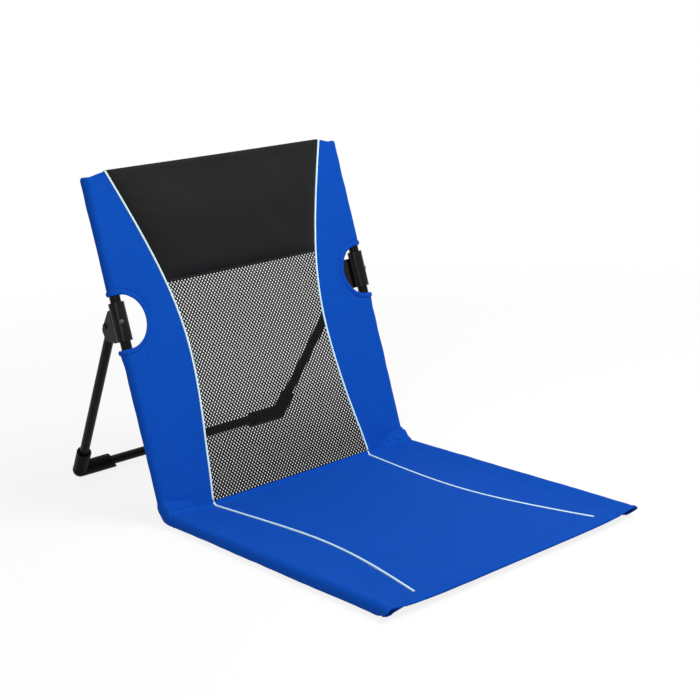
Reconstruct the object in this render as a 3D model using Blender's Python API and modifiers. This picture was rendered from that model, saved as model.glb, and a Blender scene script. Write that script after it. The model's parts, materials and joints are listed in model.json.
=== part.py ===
"""Folding beach lounger: a legless chair with a hinged back, a fabric sling and a swing-out tube stand.

Units are metres, +Z is up and the sitter looks along -Y. The seat lies on the ground, the back folds
forward about the rear edge of the seat, and the stand swings about its rivets on the back's side tubes.

Two panel frames carry the parts. In each of them X runs across the chair and Z runs along the panel, away
from the hinge axis. The face that the sitter touches looks along -Y on the back and along +Y on the seat.
"""

import math

import bmesh
import bpy
from mathutils import Matrix, Vector

# Overall sizes
WIDTH = 0.390
BACK_LENGTH = 0.400
SEAT_LENGTH = 0.388
RECLINE = math.radians(16.0)

# Frame tubes and fabric
TUBE_DIAMETER = 0.013
TUBE_WALL = 0.001
FABRIC = 0.001
CLEARANCE = 0.0003
FOLD_GAP = 0.0016
SLEEVE_TAIL = 0.020
SLEEVE_FLAT = 0.004
SLEEVE_OVERHANG = 0.014
PANEL_START = 0.0005
PLUG_SPIGOT = 0.012
PLUG_DOME = 0.004

# Seams of the sling: widths of the side panels, measured in from the tubes, and how the seams lean
FOLD_SIDE_WIDTH = 0.0622
BACK_TOP_SIDE_WIDTH = 0.0242
BACK_SEAM_RISE = 0.004
BACK_FOLD_LEAN = math.radians(-8.53)
BACK_TOP_LEAN = math.radians(20.81)
BACK_SEAM_REACH = 0.1887
SEAT_FRONT_SIDE_WIDTH = 0.0462
SEAT_FOLD_LEAN = math.radians(-5.71)
SEAT_FRONT_LEAN = math.radians(13.5)
SEAT_SEAM_REACH = 0.169
PIPING_DIAMETER = 0.0022
PIPING_SINK = 0.0002
HEAD_SEAM = 0.266
HEAD_CROWN = 0.0025
HEAD_THICKNESS = 0.002
TOP_CORNER_DROP = 0.003
FRONT_HEM = 0.018
FRONT_HEM_ROLL = 0.0024
FRONT_HEM_INSET = 0.022

# Net of the mesh panel
NET_PITCH_ACROSS = 0.022
NET_PITCH_ALONG = 0.024
NET_STRAND = 0.003
NET_BORDER = 0.004

# Half-moon cut-outs in the back's side panels
CUTOUT_UP = 0.230
CUTOUT_HALF_HEIGHT = 0.0325
CUTOUT_DEPTH = 0.031

# Hinge at the rear corners of the seat
KNUCKLE_START = 0.012
KNUCKLE_LENGTH = 0.0125
KNUCKLE_SPIGOT = 0.016
BARREL_RADIUS = 0.0034
TONGUE_THICKNESS = 0.004
FORK_CHEEK = 0.003
FORK_THROAT = 0.0045
FORK_THROAT_DROP = 0.0048
HEEL_DROP = 0.008
HEEL_TOP = 0.0045
HEEL_BACK = 0.002
PIN_RADIUS = 0.0016
PIN_HEAD_RADIUS = 0.0026
PIN_HEAD = 0.0012

# Stand
STAND_TUBE_DIAMETER = 0.012
PIVOT_UP = 0.230
PIVOT_BEHIND = 0.033
FOOT_REACH = 0.238
LEG_TOP_INSET = 0.002
FOOT_INSET = 0.0192
LEG_STUB = 0.010
ELBOW_RADIUS = 0.010
ELBOW_LEG_RADIUS = 0.0095
ELBOW_LEG_SOCKET = 0.034
ELBOW_BAR_SOCKET = 0.054
ELBOW_LIP = 0.044
ELBOW_FLOOR = 0.0088
FOOT_FLAT = 0.0003
RIVET_RADIUS = 0.0025
RIVET_HEAD_RADIUS = 0.0036
RIVET_HEAD = 0.0010

# Brackets that hold the stand on the back tubes
BRACKET_UP = 0.231
BRACKET_LENGTH = 0.047
BRACKET_RADIUS = 0.0095
EAR_CHEEK = 0.0022
EAR_PLAY = 0.0006
EAR_TOP = 0.017
EAR_TIP_UP = -0.003
EAR_TIP_BEHIND = 0.009
EAR_HEEL_UP = -0.017
EAR_HEEL_BEHIND = 0.005
EAR_TIP_ROUND = 0.005
GROOVE_WIDTH = 0.0024
GROOVE_DEPTH = 0.0007
GROOVE_ANGLE = math.radians(54.0)
SCREW_ANGLE = math.radians(23.0)
SCREW_RADIUS = 0.0016
SCREW_HEAD_RADIUS = 0.003
SCREW_HEAD = 0.0016

# Worked out from the sizes above
TUBE_RADIUS = TUBE_DIAMETER / 2
BORE_RADIUS = TUBE_RADIUS - TUBE_WALL
SPIGOT_RADIUS = BORE_RADIUS - CLEARANCE
SLEEVE_BORE = TUBE_RADIUS + CLEARANCE
SLEEVE_RADIUS = SLEEVE_BORE + FABRIC
TUBE_BEHIND = FOLD_GAP + SLEEVE_RADIUS
TUBE_X = WIDTH / 2 - SLEEVE_RADIUS
TUBE_START = KNUCKLE_START + KNUCKLE_LENGTH
HINGE_HEIGHT = TUBE_BEHIND + SLEEVE_RADIUS
HINGE_Y = (SEAT_LENGTH - FOOT_REACH - ELBOW_RADIUS) / 2
SEAM_GAP = PIPING_DIAMETER / 2 + CLEARANCE
SEAT_TUBE_LENGTH = SEAT_LENGTH - SLEEVE_OVERHANG
BACK_SEAM_SPAN = BACK_LENGTH + BACK_SEAM_RISE
SEAT_SEAM_SPAN = SEAT_LENGTH - FRONT_HEM
FOLD_SEAM = TUBE_X - FOLD_SIDE_WIDTH
BACK_TOP_SEAM = TUBE_X - BACK_TOP_SIDE_WIDTH
SEAT_FRONT_SEAM = TUBE_X - SEAT_FRONT_SIDE_WIDTH
FORK_WIDTH = TONGUE_THICKNESS + 2 * (FORK_CHEEK + CLEARANCE)
HINGE_NOTCH = TUBE_X - FORK_WIDTH / 2 - 2 * CLEARANCE - PIN_HEAD - 2 * CLEARANCE
STAND_RADIUS = STAND_TUBE_DIAMETER / 2
LEG_TOP_X = TUBE_X - LEG_TOP_INSET
FOOT_HALF_SPACING = LEG_TOP_X - FOOT_INSET

# Pivot and foot, rearward and up from the hinge axis
PIVOT_Y = PIVOT_UP * math.sin(RECLINE) + PIVOT_BEHIND * math.cos(RECLINE)
PIVOT_Z = PIVOT_UP * math.cos(RECLINE) - PIVOT_BEHIND * math.sin(RECLINE)
FOOT_Z = ELBOW_RADIUS - FOOT_FLAT - HINGE_HEIGHT
LEG_SPAN = math.hypot(FOOT_REACH - PIVOT_Y, PIVOT_Z - FOOT_Z)
STAND_ANGLE = math.atan2(FOOT_REACH - PIVOT_Y, PIVOT_Z - FOOT_Z) + RECLINE
LEG_TAPER = FOOT_INSET / LEG_SPAN
EAR_GAP = STAND_RADIUS + LEG_TAPER * 2 * LEG_STUB + EAR_PLAY

BLUE = (0.012, 0.098, 0.515)
BLACK_FABRIC = (0.022, 0.022, 0.024)
BLACK_PAINT = (0.012, 0.012, 0.013)
BLACK_PLASTIC = (0.016, 0.016, 0.017)
PALE_CORD = (0.72, 0.82, 0.95)
STEEL = (0.35, 0.35, 0.36)

SIDES = {"left": -1.0, "right": 1.0}
ALONG_X = (math.pi / 2, 0.0, math.pi / 2)
FACING = (math.pi / 2, 0.0, 0.0)
ROUND = 20
SMALL_ROUND = 12


def clear_scene():
    """Remove every object that the file starts with."""
    for obj in list(bpy.data.objects):
        bpy.data.objects.remove(obj, do_unlink=True)


def new_collection(name):
    """Return a new collection linked to the scene."""
    collection = bpy.data.collections.new(name)
    bpy.context.scene.collection.children.link(collection)
    return collection


def make_material(name, colour, roughness, metallic=0.0):
    """Return a Principled material."""
    material = bpy.data.materials.new(name)
    material.use_nodes = True
    shader = material.node_tree.nodes["Principled BSDF"]
    shader.inputs["Base Color"].default_value = (*colour, 1.0)
    shader.inputs["Roughness"].default_value = roughness
    shader.inputs["Metallic"].default_value = metallic
    return material


class Workshop:
    """The two collections and the frames that parts and cutters are placed in."""

    def __init__(self):
        self.parts = new_collection("folding_beach_lounger")
        self.cutters = new_collection("cutters")
        self.seat = self.frame("seat_frame", None, (0.0, HINGE_Y, HINGE_HEIGHT), math.pi / 2)
        self.back = self.frame("back_hinge_axis", None, (0.0, HINGE_Y, HINGE_HEIGHT), -RECLINE)
        self.stand = self.frame("stand_pivot_axis", self.back, (0.0, PIVOT_BEHIND, PIVOT_UP), STAND_ANGLE)
        self.count = 0

    def frame(self, name, parent, location, turn):
        """Return an empty that turns about X, for parts to hang on."""
        empty = bpy.data.objects.new(name, None)
        empty.parent = parent
        empty.location = location
        empty.rotation_euler = (turn, 0.0, 0.0)
        self.parts.objects.link(empty)
        return empty

    def part(self, name, mesh, parent, finish, location=(0.0, 0.0, 0.0), rotation=(0.0, 0.0, 0.0)):
        """Place a mesh as a named part with its own material."""
        obj = bpy.data.objects.new(name, mesh)
        obj.parent = parent
        obj.location = location
        obj.rotation_euler = rotation
        obj.data.materials.append(make_material(name, *finish))
        obj.data.shade_smooth()
        obj.data.set_sharp_from_angle(angle=math.radians(35.0))
        self.parts.objects.link(obj)
        return obj

    def tool(self, mesh, parent, location=(0.0, 0.0, 0.0), rotation=(0.0, 0.0, 0.0)):
        """Place a mesh as a hidden cutter or as a body to be joined to a part."""
        self.count += 1
        obj = bpy.data.objects.new(f"tool_{self.count:03d}", mesh)
        obj.parent = parent
        obj.location = location
        obj.rotation_euler = rotation
        obj.hide_render = True
        obj.display_type = "WIRE"
        self.cutters.objects.link(obj)
        return obj


def boolean(obj, operation, tool):
    """Add an exact Boolean of a tool to a part."""
    modifier = obj.modifiers.new(operation.lower(), "BOOLEAN")
    modifier.operation = operation
    modifier.solver = "EXACT"
    modifier.object = tool


def cut(obj, tool):
    """Cut a tool's shape out of a part."""
    boolean(obj, "DIFFERENCE", tool)


def join(obj, tool):
    """Join a tool's shape to a part."""
    boolean(obj, "UNION", tool)


def keep(obj, tool):
    """Keep what lies inside a tool's shape."""
    boolean(obj, "INTERSECT", tool)


def mesh_from_curve(curve):
    """Return a closed mesh of a curve, with its caps welded."""
    carrier = bpy.data.objects.new("carrier", curve)
    bpy.context.scene.collection.objects.link(carrier)
    depsgraph = bpy.context.evaluated_depsgraph_get()
    mesh = bpy.data.meshes.new_from_object(carrier.evaluated_get(depsgraph))
    bpy.data.objects.remove(carrier, do_unlink=True)
    bm = bmesh.new()
    bm.from_mesh(mesh)
    bmesh.ops.remove_doubles(bm, verts=bm.verts, dist=1e-6)
    bmesh.ops.recalc_face_normals(bm, faces=bm.faces)
    bm.to_mesh(mesh)
    bm.free()
    return mesh


def plate(outlines, thickness):
    """Return a flat plate: the first outline filled, the others left open, extruded along Z."""
    curve = bpy.data.curves.new("outline", "CURVE")
    curve.dimensions = "2D"
    curve.fill_mode = "BOTH"
    curve.extrude = thickness / 2
    for outline in outlines:
        spline = curve.splines.new("POLY")
        spline.points.add(len(outline) - 1)
        for point, (x, y) in zip(spline.points, outline):
            point.co = (x, y, 0.0, 1.0)
        spline.use_cyclic_u = True
    return mesh_from_curve(curve)


def cord(points, radius):
    """Return a round cord along points, with filled caps."""
    curve = bpy.data.curves.new("cord", "CURVE")
    curve.dimensions = "3D"
    curve.bevel_depth = radius
    curve.bevel_resolution = 1
    curve.use_fill_caps = True
    spline = curve.splines.new("POLY")
    spline.points.add(len(points) - 1)
    for point, place in zip(spline.points, points):
        point.co = (*place, 1.0)
    return mesh_from_curve(curve)


def cylinder(radius, length, segments=ROUND):
    """Return a capped cylinder along Z, centred."""
    mesh = bpy.data.meshes.new("cylinder")
    bm = bmesh.new()
    bmesh.ops.create_cone(bm, cap_ends=True, segments=segments, radius1=radius, radius2=radius, depth=length)
    bm.to_mesh(mesh)
    bm.free()
    return mesh


def rod(start, end, radius, segments=ROUND):
    """Return a capped cylinder from one point to another."""
    start, end = Vector(start), Vector(end)
    run = end - start
    turn = run.to_track_quat("Z", "Y").to_matrix().to_4x4()
    mesh = cylinder(radius, run.length, segments)
    mesh.transform(Matrix.Translation((start + end) / 2) @ turn)
    return mesh


def box(low, high):
    """Return a box between two corners."""
    mesh = bpy.data.meshes.new("box")
    bm = bmesh.new()
    bmesh.ops.create_cube(bm, size=1.0)
    low, high = Vector(low), Vector(high)
    bmesh.ops.scale(bm, verts=bm.verts, vec=high - low)
    bmesh.ops.translate(bm, verts=bm.verts, vec=(low + high) / 2)
    bm.to_mesh(mesh)
    bm.free()
    return mesh


def ball(radius):
    """Return a sphere."""
    mesh = bpy.data.meshes.new("ball")
    bm = bmesh.new()
    bmesh.ops.create_uvsphere(bm, u_segments=ROUND, v_segments=ROUND // 2, radius=radius)
    bm.to_mesh(mesh)
    bm.free()
    return mesh


def turned(profile, segments=ROUND):
    """Return a solid turned about Z from (radius, height) points that run from top to bottom."""
    mesh = bpy.data.meshes.new("profile")
    verts = [(radius, 0.0, height) for radius, height in profile]
    mesh.from_pydata(verts, [(i, i + 1) for i in range(len(verts) - 1)], [])
    carrier = bpy.data.objects.new("carrier", mesh)
    bpy.context.scene.collection.objects.link(carrier)
    screw = carrier.modifiers.new("turn", "SCREW")
    screw.angle = 2 * math.pi
    screw.steps = segments
    screw.render_steps = segments
    screw.use_merge_vertices = True
    screw.merge_threshold = 0.00001
    depsgraph = bpy.context.evaluated_depsgraph_get()
    solid = bpy.data.meshes.new_from_object(carrier.evaluated_get(depsgraph))
    bpy.data.objects.remove(carrier, do_unlink=True)
    bm = bmesh.new()
    bm.from_mesh(solid)
    bmesh.ops.remove_doubles(bm, verts=bm.verts, dist=1e-6)
    bmesh.ops.recalc_face_normals(bm, faces=bm.faces)
    bm.to_mesh(solid)
    bm.free()
    return solid


def arc(radius, start, end, steps):
    """Return points on an arc about the origin, both ends included, with angles in radians."""
    angles = [start + (end - start) * i / steps for i in range(steps + 1)]
    return [(radius * math.cos(a), radius * math.sin(a)) for a in angles]


def dome_profile(radius, height, steps=3):
    """Return (radius, height) points of a dome, from its top down to its rim."""
    return [(radius * math.sin(math.pi / 2 * i / steps), height * math.cos(math.pi / 2 * i / steps))
            for i in range(steps + 1)]


def headed_profile(radius, half, head_radius, head):
    """Return the (radius, height) points of a pin with a flat head at both ends."""
    top = [(0.0, half + head), (head_radius, half + head), (head_radius, half), (radius, half)]
    return [*top, *((r, -z) for r, z in reversed(top))]


def rounded(corner, before, after, radius, steps=4):
    """Return the points of a fillet at a corner between two neighbouring points."""
    corner, before, after = Vector(corner), Vector(before), Vector(after)
    to_before = (before - corner).normalized()
    to_after = (after - corner).normalized()
    half = to_before.angle(to_after) / 2
    centre = corner + (to_before + to_after).normalized() * (radius / math.sin(half))
    first = corner + to_before * (radius / math.tan(half))
    last = corner + to_after * (radius / math.tan(half))
    start = first - centre
    sweep = start.angle_signed(last - centre)
    turns = [Matrix.Rotation(-sweep * i / steps, 2) for i in range(steps + 1)]
    return [tuple(centre + turn @ start) for turn in turns]


def seam_points(far, span, leans, reach, start, end, count=18):
    """Return (across, along) points of a seam: one cubic from the fold to its far end."""
    ends = (Vector((FOLD_SEAM, 0.0)), Vector((far, span)))
    near_lean, far_lean = (Vector((math.tan(lean), 1.0)) * reach for lean in leans)
    handles = (ends[0] + near_lean, ends[1] - far_lean)

    def at(t):
        s = 1.0 - t
        return ends[0] * s**3 + handles[0] * 3 * s * s * t + handles[1] * 3 * s * t * t + ends[1] * t**3

    def parameter(along):
        low, high = 0.0, 1.0
        for _ in range(40):
            middle = (low + high) / 2
            low, high = (middle, high) if at(middle).y < along else (low, middle)
        return low

    first, last = parameter(start), parameter(end)
    return [tuple(at(first + (last - first) * i / count)) for i in range(count + 1)]


def back_seam(start, end, count=18):
    """Return the seam between a back side panel and the centre panels."""
    leans = (BACK_FOLD_LEAN, BACK_TOP_LEAN)
    return seam_points(BACK_TOP_SEAM, BACK_SEAM_SPAN, leans, BACK_SEAM_REACH, start, end, count)


def seat_seam(start, end, count=18):
    """Return the seam between a seat side panel and the seat's centre panel."""
    leans = (SEAT_FOLD_LEAN, SEAT_FRONT_LEAN)
    return seam_points(SEAT_FRONT_SEAM, SEAT_SEAM_SPAN, leans, SEAT_SEAM_REACH, start, end, count)


def shifted(points, across):
    """Return points moved across the chair."""
    return [(x + across, z) for x, z in points]


def mirrored(points):
    """Return points on the other side of the chair, in the opposite order."""
    return [(-x, z) for x, z in reversed(points)]


def sided(points, side):
    """Return points on the side of the chair that the sign gives."""
    return [(side * x, z) for x, z in points]


def sleeve_section(side, behind):
    """Return the outline and the bore of a fabric strip that wraps a tube and is sewn back on itself."""
    tip = Vector((-SLEEVE_TAIL, -SLEEVE_BORE))
    tangent = math.atan2(tip.y, tip.x) % (2 * math.pi) - math.acos(SLEEVE_RADIUS / tip.length)
    flat = math.asin(SLEEVE_FLAT / 2 / SLEEVE_RADIUS)
    rear = math.pi / 2
    outer = [(-TUBE_X, -SLEEVE_RADIUS), *arc(SLEEVE_RADIUS, -rear, rear - 2 * flat, 10)]
    outer += [(SLEEVE_FLAT / 2, SLEEVE_RADIUS), (-SLEEVE_FLAT / 2, SLEEVE_RADIUS)]
    outer += [*arc(SLEEVE_RADIUS, rear + 2 * flat, tangent, 2), tuple(tip), (-TUBE_X, -SLEEVE_BORE)]
    apex = (SLEEVE_BORE + SLEEVE_BORE * math.sin(tangent)) / math.cos(tangent)
    bore = [(apex, -SLEEVE_BORE), *arc(SLEEVE_BORE, -rear, tangent, 14)]
    place = [[(side * (TUBE_X + x), behind * (TUBE_BEHIND + y)) for x, y in path] for path in (outer, bore)]
    return place


def side_panel(shop, name, frame, side, behind, length, outline):
    """Make a fabric side panel: a strip with a sleeve, trimmed to an outline."""
    mesh = plate(sleeve_section(side, behind), length)
    panel = shop.part(name, mesh, frame, (BLUE, 0.75), (0.0, 0.0, length / 2))
    depth = 4 * TUBE_BEHIND
    keep(panel, shop.tool(plate([sided(outline, side)], depth), frame, (0, 0, 0), FACING))
    low, high = sorted((behind * (FOLD_GAP + FABRIC + CLEARANCE / 2), behind * depth))
    inner, outer = sorted((side * (TUBE_X - 2 * SLEEVE_TAIL), side * WIDTH))
    cut(panel, shop.tool(box((inner, low, -depth), (outer, high, TUBE_START + 4 * CLEARANCE)), frame))
    return panel


def back_side_panels(shop):
    """Make the blue side panels of the back, with their half-moon cut-outs."""
    beyond = WIDTH
    seam = shifted(back_seam(PANEL_START, BACK_SEAM_SPAN), SEAM_GAP)
    top = [(TUBE_X, BACK_LENGTH - TOP_CORNER_DROP), (beyond, BACK_LENGTH - TOP_CORNER_DROP)]
    moon = [(TUBE_X + CUTOUT_DEPTH * x, CUTOUT_UP + CUTOUT_HALF_HEIGHT * z)
            for x, z in arc(1.0, math.pi / 2, 3 * math.pi / 2, 14)]
    notch = [(beyond, KNUCKLE_START + CLEARANCE), (HINGE_NOTCH, KNUCKLE_START + CLEARANCE)]
    outline = [*seam, *top, (beyond, moon[0][1]), *moon, (beyond, moon[-1][1])]
    outline += [*notch, (HINGE_NOTCH, PANEL_START)]
    for word, side in SIDES.items():
        length = BACK_SEAM_SPAN + CLEARANCE
        side_panel(shop, f"back_side_panel_{word}", shop.back, side, 1.0, length, outline)


def seat_side_panels(shop):
    """Make the blue side panels of the seat."""
    beyond = WIDTH
    seam = shifted(seat_seam(PANEL_START, SEAT_SEAM_SPAN), SEAM_GAP)
    hem = TUBE_X - FRONT_HEM_INSET + CLEARANCE
    front = SEAT_LENGTH - PLUG_DOME / 2
    notch = [(beyond, KNUCKLE_START + CLEARANCE), (HINGE_NOTCH, KNUCKLE_START + CLEARANCE)]
    outline = [*seam, (hem, SEAT_SEAM_SPAN), (hem, front), (beyond, front)]
    outline += [*notch, (HINGE_NOTCH, PANEL_START)]
    for word, side in SIDES.items():
        side_panel(shop, f"seat_side_panel_{word}", shop.seat, side, -1.0, SEAT_LENGTH, outline)


def seat_panel(shop):
    """Make the blue centre panel of the seat, with the rolled hem along its front edge."""
    seam = shifted(seat_seam(PANEL_START, SEAT_SEAM_SPAN - CLEARANCE), -SEAM_GAP)
    hem = TUBE_X - FRONT_HEM_INSET
    shoulder = [(seam[-1][0], SEAT_SEAM_SPAN + CLEARANCE), (hem, SEAT_SEAM_SPAN + 2 * CLEARANCE)]
    right = [*seam, *shoulder, (hem, SEAT_LENGTH)]
    mesh = plate([[*right, *mirrored(right)]], FABRIC)
    middle = -(FOLD_GAP + FABRIC / 2)
    panel = shop.part("seat_panel", mesh, shop.seat, (BLUE, 0.75), (0.0, middle, 0.0), FACING)
    edge, front = hem - CLEARANCE, SEAT_LENGTH - CLEARANCE
    low = (-edge, -FOLD_GAP - FRONT_HEM_ROLL, SEAT_LENGTH - FRONT_HEM / 2)
    roll = box(low, (edge, -FOLD_GAP - FABRIC / 2, front))
    join(panel, shop.tool(roll, shop.seat))


def head_panel(shop):
    """Make the black head panel, with its crowned top edge."""
    seam = shifted(back_seam(HEAD_SEAM + CLEARANCE, BACK_SEAM_SPAN), -SEAM_GAP)
    edge = seam[-1][0]
    steps = 10
    across = [edge * (1.0 - 2.0 * i / steps) for i in range(1, steps)]
    crown = [(x, BACK_SEAM_SPAN + HEAD_CROWN * (1.0 - (x / edge) ** 2)) for x in across]
    mesh = plate([[*seam, *crown, *mirrored(seam)]], HEAD_THICKNESS)
    middle = FOLD_GAP + HEAD_THICKNESS / 2
    shop.part("head_panel", mesh, shop.back, (BLACK_FABRIC, 0.5), (0.0, middle, 0.0), FACING)


def net_gaps(seam):
    """Return the diamond gaps of the net that lie inside its border."""
    def limit(along):
        for (x0, z0), (x1, z1) in zip(seam, seam[1:]):
            if z0 <= along <= z1:
                return x0 + (x1 - x0) * (along - z0) / (z1 - z0) - NET_BORDER
        return -1.0

    slope = math.hypot(NET_PITCH_ACROSS, NET_PITCH_ALONG)
    half_across = NET_PITCH_ACROSS / 2 - NET_STRAND / 2 * slope / NET_PITCH_ALONG
    half_along = NET_PITCH_ALONG / 2 - NET_STRAND / 2 * slope / NET_PITCH_ACROSS
    low, high = seam[0][1] + NET_BORDER, seam[-1][1] - NET_BORDER
    rows = int((high - low) / (NET_PITCH_ALONG / 2))
    columns = int(FOLD_SEAM / NET_PITCH_ACROSS) + 2
    gaps = []
    for row in range(1, rows):
        along = low + row * (high - low) / rows
        for column in range(-columns, columns + 1):
            across = (column + row % 2 / 2) * NET_PITCH_ACROSS
            reach = abs(across) + half_across
            inside = along - half_along > low and along + half_along < high
            if inside and reach < limit(along):
                gaps.append([(across + half_across, along), (across, along + half_along),
                             (across - half_across, along), (across, along - half_along)])
    return gaps


def mesh_panel(shop):
    """Make the black net in the lower centre of the back."""
    seam = shifted(back_seam(PANEL_START, HEAD_SEAM), -SEAM_GAP)
    mesh = plate([[*seam, *mirrored(seam)], *net_gaps(seam)], FABRIC)
    middle = FOLD_GAP + FABRIC / 2
    shop.part("mesh_panel", mesh, shop.back, (BLACK_FABRIC, 0.8), (0.0, middle, 0.0), FACING)


def piping(shop):
    """Make the pale cords that are sewn into the seams of the back and the seat."""
    back = back_seam(PANEL_START, BACK_SEAM_SPAN)
    seat = seat_seam(PANEL_START, SEAT_SEAM_SPAN - CLEARANCE)
    for word, side in SIDES.items():
        for name, frame, behind, seam in (("back", shop.back, 1.0, back), ("seat", shop.seat, -1.0, seat)):
            depth = behind * (FOLD_GAP + PIPING_SINK)
            mesh = cord([(side * x, depth, z) for x, z in seam], PIPING_DIAMETER / 2)
            shop.part(f"{name}_piping_{word}", mesh, frame, (PALE_CORD, 0.6))


def tube_ring(radius, wall, length, segments=ROUND):
    """Return a hollow tube along Z, centred."""
    turn = 2 * math.pi * (segments - 1) / segments
    rings = [arc(r, 0.0, turn, segments - 1) for r in (radius, radius - wall)]
    return plate(rings, length)


def frame_tubes(shop):
    """Make the hollow side tubes of the back and the seat, with a screw hole in each back tube."""
    finish = (BLACK_PAINT, 0.4, 0.6)
    for word, side in SIDES.items():
        for name, frame, behind, length in (
            ("back", shop.back, 1.0, BACK_LENGTH), ("seat", shop.seat, -1.0, SEAT_TUBE_LENGTH)
        ):
            start, end = TUBE_START + CLEARANCE, length - PLUG_DOME - CLEARANCE
            mesh = tube_ring(TUBE_RADIUS, TUBE_WALL, end - start)
            place = (side * TUBE_X, behind * TUBE_BEHIND, (start + end) / 2)
            tube = shop.part(f"{name}_tube_{word}", mesh, frame, finish, place)
            if name == "back":
                cut(tube, shop.tool(screw_shape(side, SCREW_RADIUS + CLEARANCE, 0.0), frame))


def end_plugs(shop):
    """Make the domed plugs in the tube ends at the top of the back and the front of the seat."""
    profile = [*dome_profile(TUBE_RADIUS, PLUG_DOME), (SPIGOT_RADIUS, 0.0), (SPIGOT_RADIUS, -PLUG_SPIGOT)]
    profile.append((0.0, -PLUG_SPIGOT))
    for word, side in SIDES.items():
        for name, frame, behind, length in (
            ("back_top", shop.back, 1.0, BACK_LENGTH), ("seat_front", shop.seat, -1.0, SEAT_TUBE_LENGTH)
        ):
            place = (side * TUBE_X, behind * TUBE_BEHIND, length - PLUG_DOME)
            shop.part(f"{name}_plug_{word}", turned(profile), frame, (BLACK_PLASTIC, 0.6), place)


def barrel_outline(far):
    """Return a knuckle's (behind, along) outline: a barrel round the hinge axis that widens to the tube."""
    barrel = arc(BARREL_RADIUS, math.pi, 2 * math.pi, 8)
    near, rear = TUBE_BEHIND - TUBE_RADIUS, TUBE_BEHIND + TUBE_RADIUS
    return [(near, far), (near, KNUCKLE_START), *barrel, (rear, KNUCKLE_START), (rear, far)]


def heel_points():
    """Return the tongue's stop in the back's (behind, along) axes, from its place over the fork's throat."""
    face = FORK_THROAT - CLEARANCE
    rest = [(face, HEEL_TOP), (face, HEEL_DROP), (-HEEL_BACK, HEEL_DROP)]
    points = []
    for forward, down in rest:
        behind = -forward * math.cos(RECLINE) + down * math.sin(RECLINE)
        along = -forward * math.sin(RECLINE) - down * math.cos(RECLINE)
        points.append((behind, along))
    return points


def knuckle_core(behind):
    """Return the round body of a knuckle and the spigot that fills the tube's end, in panel axes."""
    y = behind * TUBE_BEHIND
    body = rod((0.0, y, KNUCKLE_START), (0.0, y, TUBE_START), TUBE_RADIUS)
    spigot = rod((0.0, y, KNUCKLE_START), (0.0, y, TUBE_START + KNUCKLE_SPIGOT), SPIGOT_RADIUS)
    return body, spigot


def hinges(shop):
    """Make the fork on each seat tube, the tongue on each back tube and the pin that joins them."""
    finish = (BLACK_PLASTIC, 0.55)
    overlap = KNUCKLE_START + CLEARANCE * 4
    fork_outline = barrel_outline(overlap)
    tongue_outline = [*fork_outline[:3], *heel_points(), *fork_outline[-2:]]
    for word, side in SIDES.items():
        place = (side * TUBE_X, 0.0, 0.0)
        fork_mesh = plate([[(-d, z) for d, z in fork_outline]], FORK_WIDTH)
        fork = shop.part(f"hinge_fork_{word}", fork_mesh, shop.seat, finish, place, ALONG_X)
        tongue_mesh = plate([tongue_outline], TONGUE_THICKNESS)
        tongue = shop.part(f"hinge_tongue_{word}", tongue_mesh, shop.back, finish, place, ALONG_X)
        reach, floor = TUBE_BEHIND * 2, KNUCKLE_START - CLEARANCE
        slot = [(reach, -reach), (reach, FORK_THROAT), (FORK_THROAT_DROP, FORK_THROAT)]
        slot += [(FORK_THROAT_DROP, floor), (-reach, floor), (-reach, -reach)]
        slot_mesh = plate([[(-d, z) for d, z in slot]], TONGUE_THICKNESS + 2 * CLEARANCE)
        cut(fork, shop.tool(slot_mesh, shop.seat, place, ALONG_X))
        for knuckle, frame, behind in ((fork, shop.seat, -1.0), (tongue, shop.back, 1.0)):
            for mesh in knuckle_core(behind):
                join(knuckle, shop.tool(mesh, frame, place))
            bore = rod((-FORK_WIDTH, 0.0, 0.0), (FORK_WIDTH, 0.0, 0.0), PIN_RADIUS + CLEARANCE, SMALL_ROUND)
            cut(knuckle, shop.tool(bore, frame, place))
        profile = headed_profile(PIN_RADIUS, FORK_WIDTH / 2 + CLEARANCE, PIN_HEAD_RADIUS, PIN_HEAD)
        pin = turned(profile, SMALL_ROUND)
        shop.part(f"hinge_pin_{word}", pin, shop.seat, (STEEL, 0.35, 1.0), place, (0.0, math.pi / 2, 0.0))


def screw_shape(side, radius, play):
    """Return the shank of a bracket screw, from the bracket's face to just inside the tube wall."""
    out = Vector((side * math.sin(SCREW_ANGLE), -math.cos(SCREW_ANGLE), 0.0))
    axis = Vector((side * TUBE_X, TUBE_BEHIND, BRACKET_UP))
    inner = BORE_RADIUS + play
    return rod(axis + out * inner, axis + out * (BRACKET_RADIUS + SCREW_HEAD / 2), radius, SMALL_ROUND)


def bracket_screws(shop):
    """Make the screw that fixes each bracket to its tube."""
    shank = BRACKET_RADIUS - BORE_RADIUS - CLEARANCE
    profile = [*dome_profile(SCREW_HEAD_RADIUS, SCREW_HEAD), (SCREW_RADIUS, 0.0), (SCREW_RADIUS, -shank)]
    profile.append((0.0, -shank))
    finish = (STEEL, 0.4, 1.0)
    for word, side in SIDES.items():
        out = Vector((side * math.sin(SCREW_ANGLE), -math.cos(SCREW_ANGLE), 0.0))
        place = Vector((side * TUBE_X, TUBE_BEHIND, BRACKET_UP)) + out * (BRACKET_RADIUS + CLEARANCE)
        turn = out.to_track_quat("Z", "Y").to_euler()
        shop.part(f"bracket_screw_{word}", turned(profile, SMALL_ROUND), shop.back, finish, place, turn)


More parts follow.
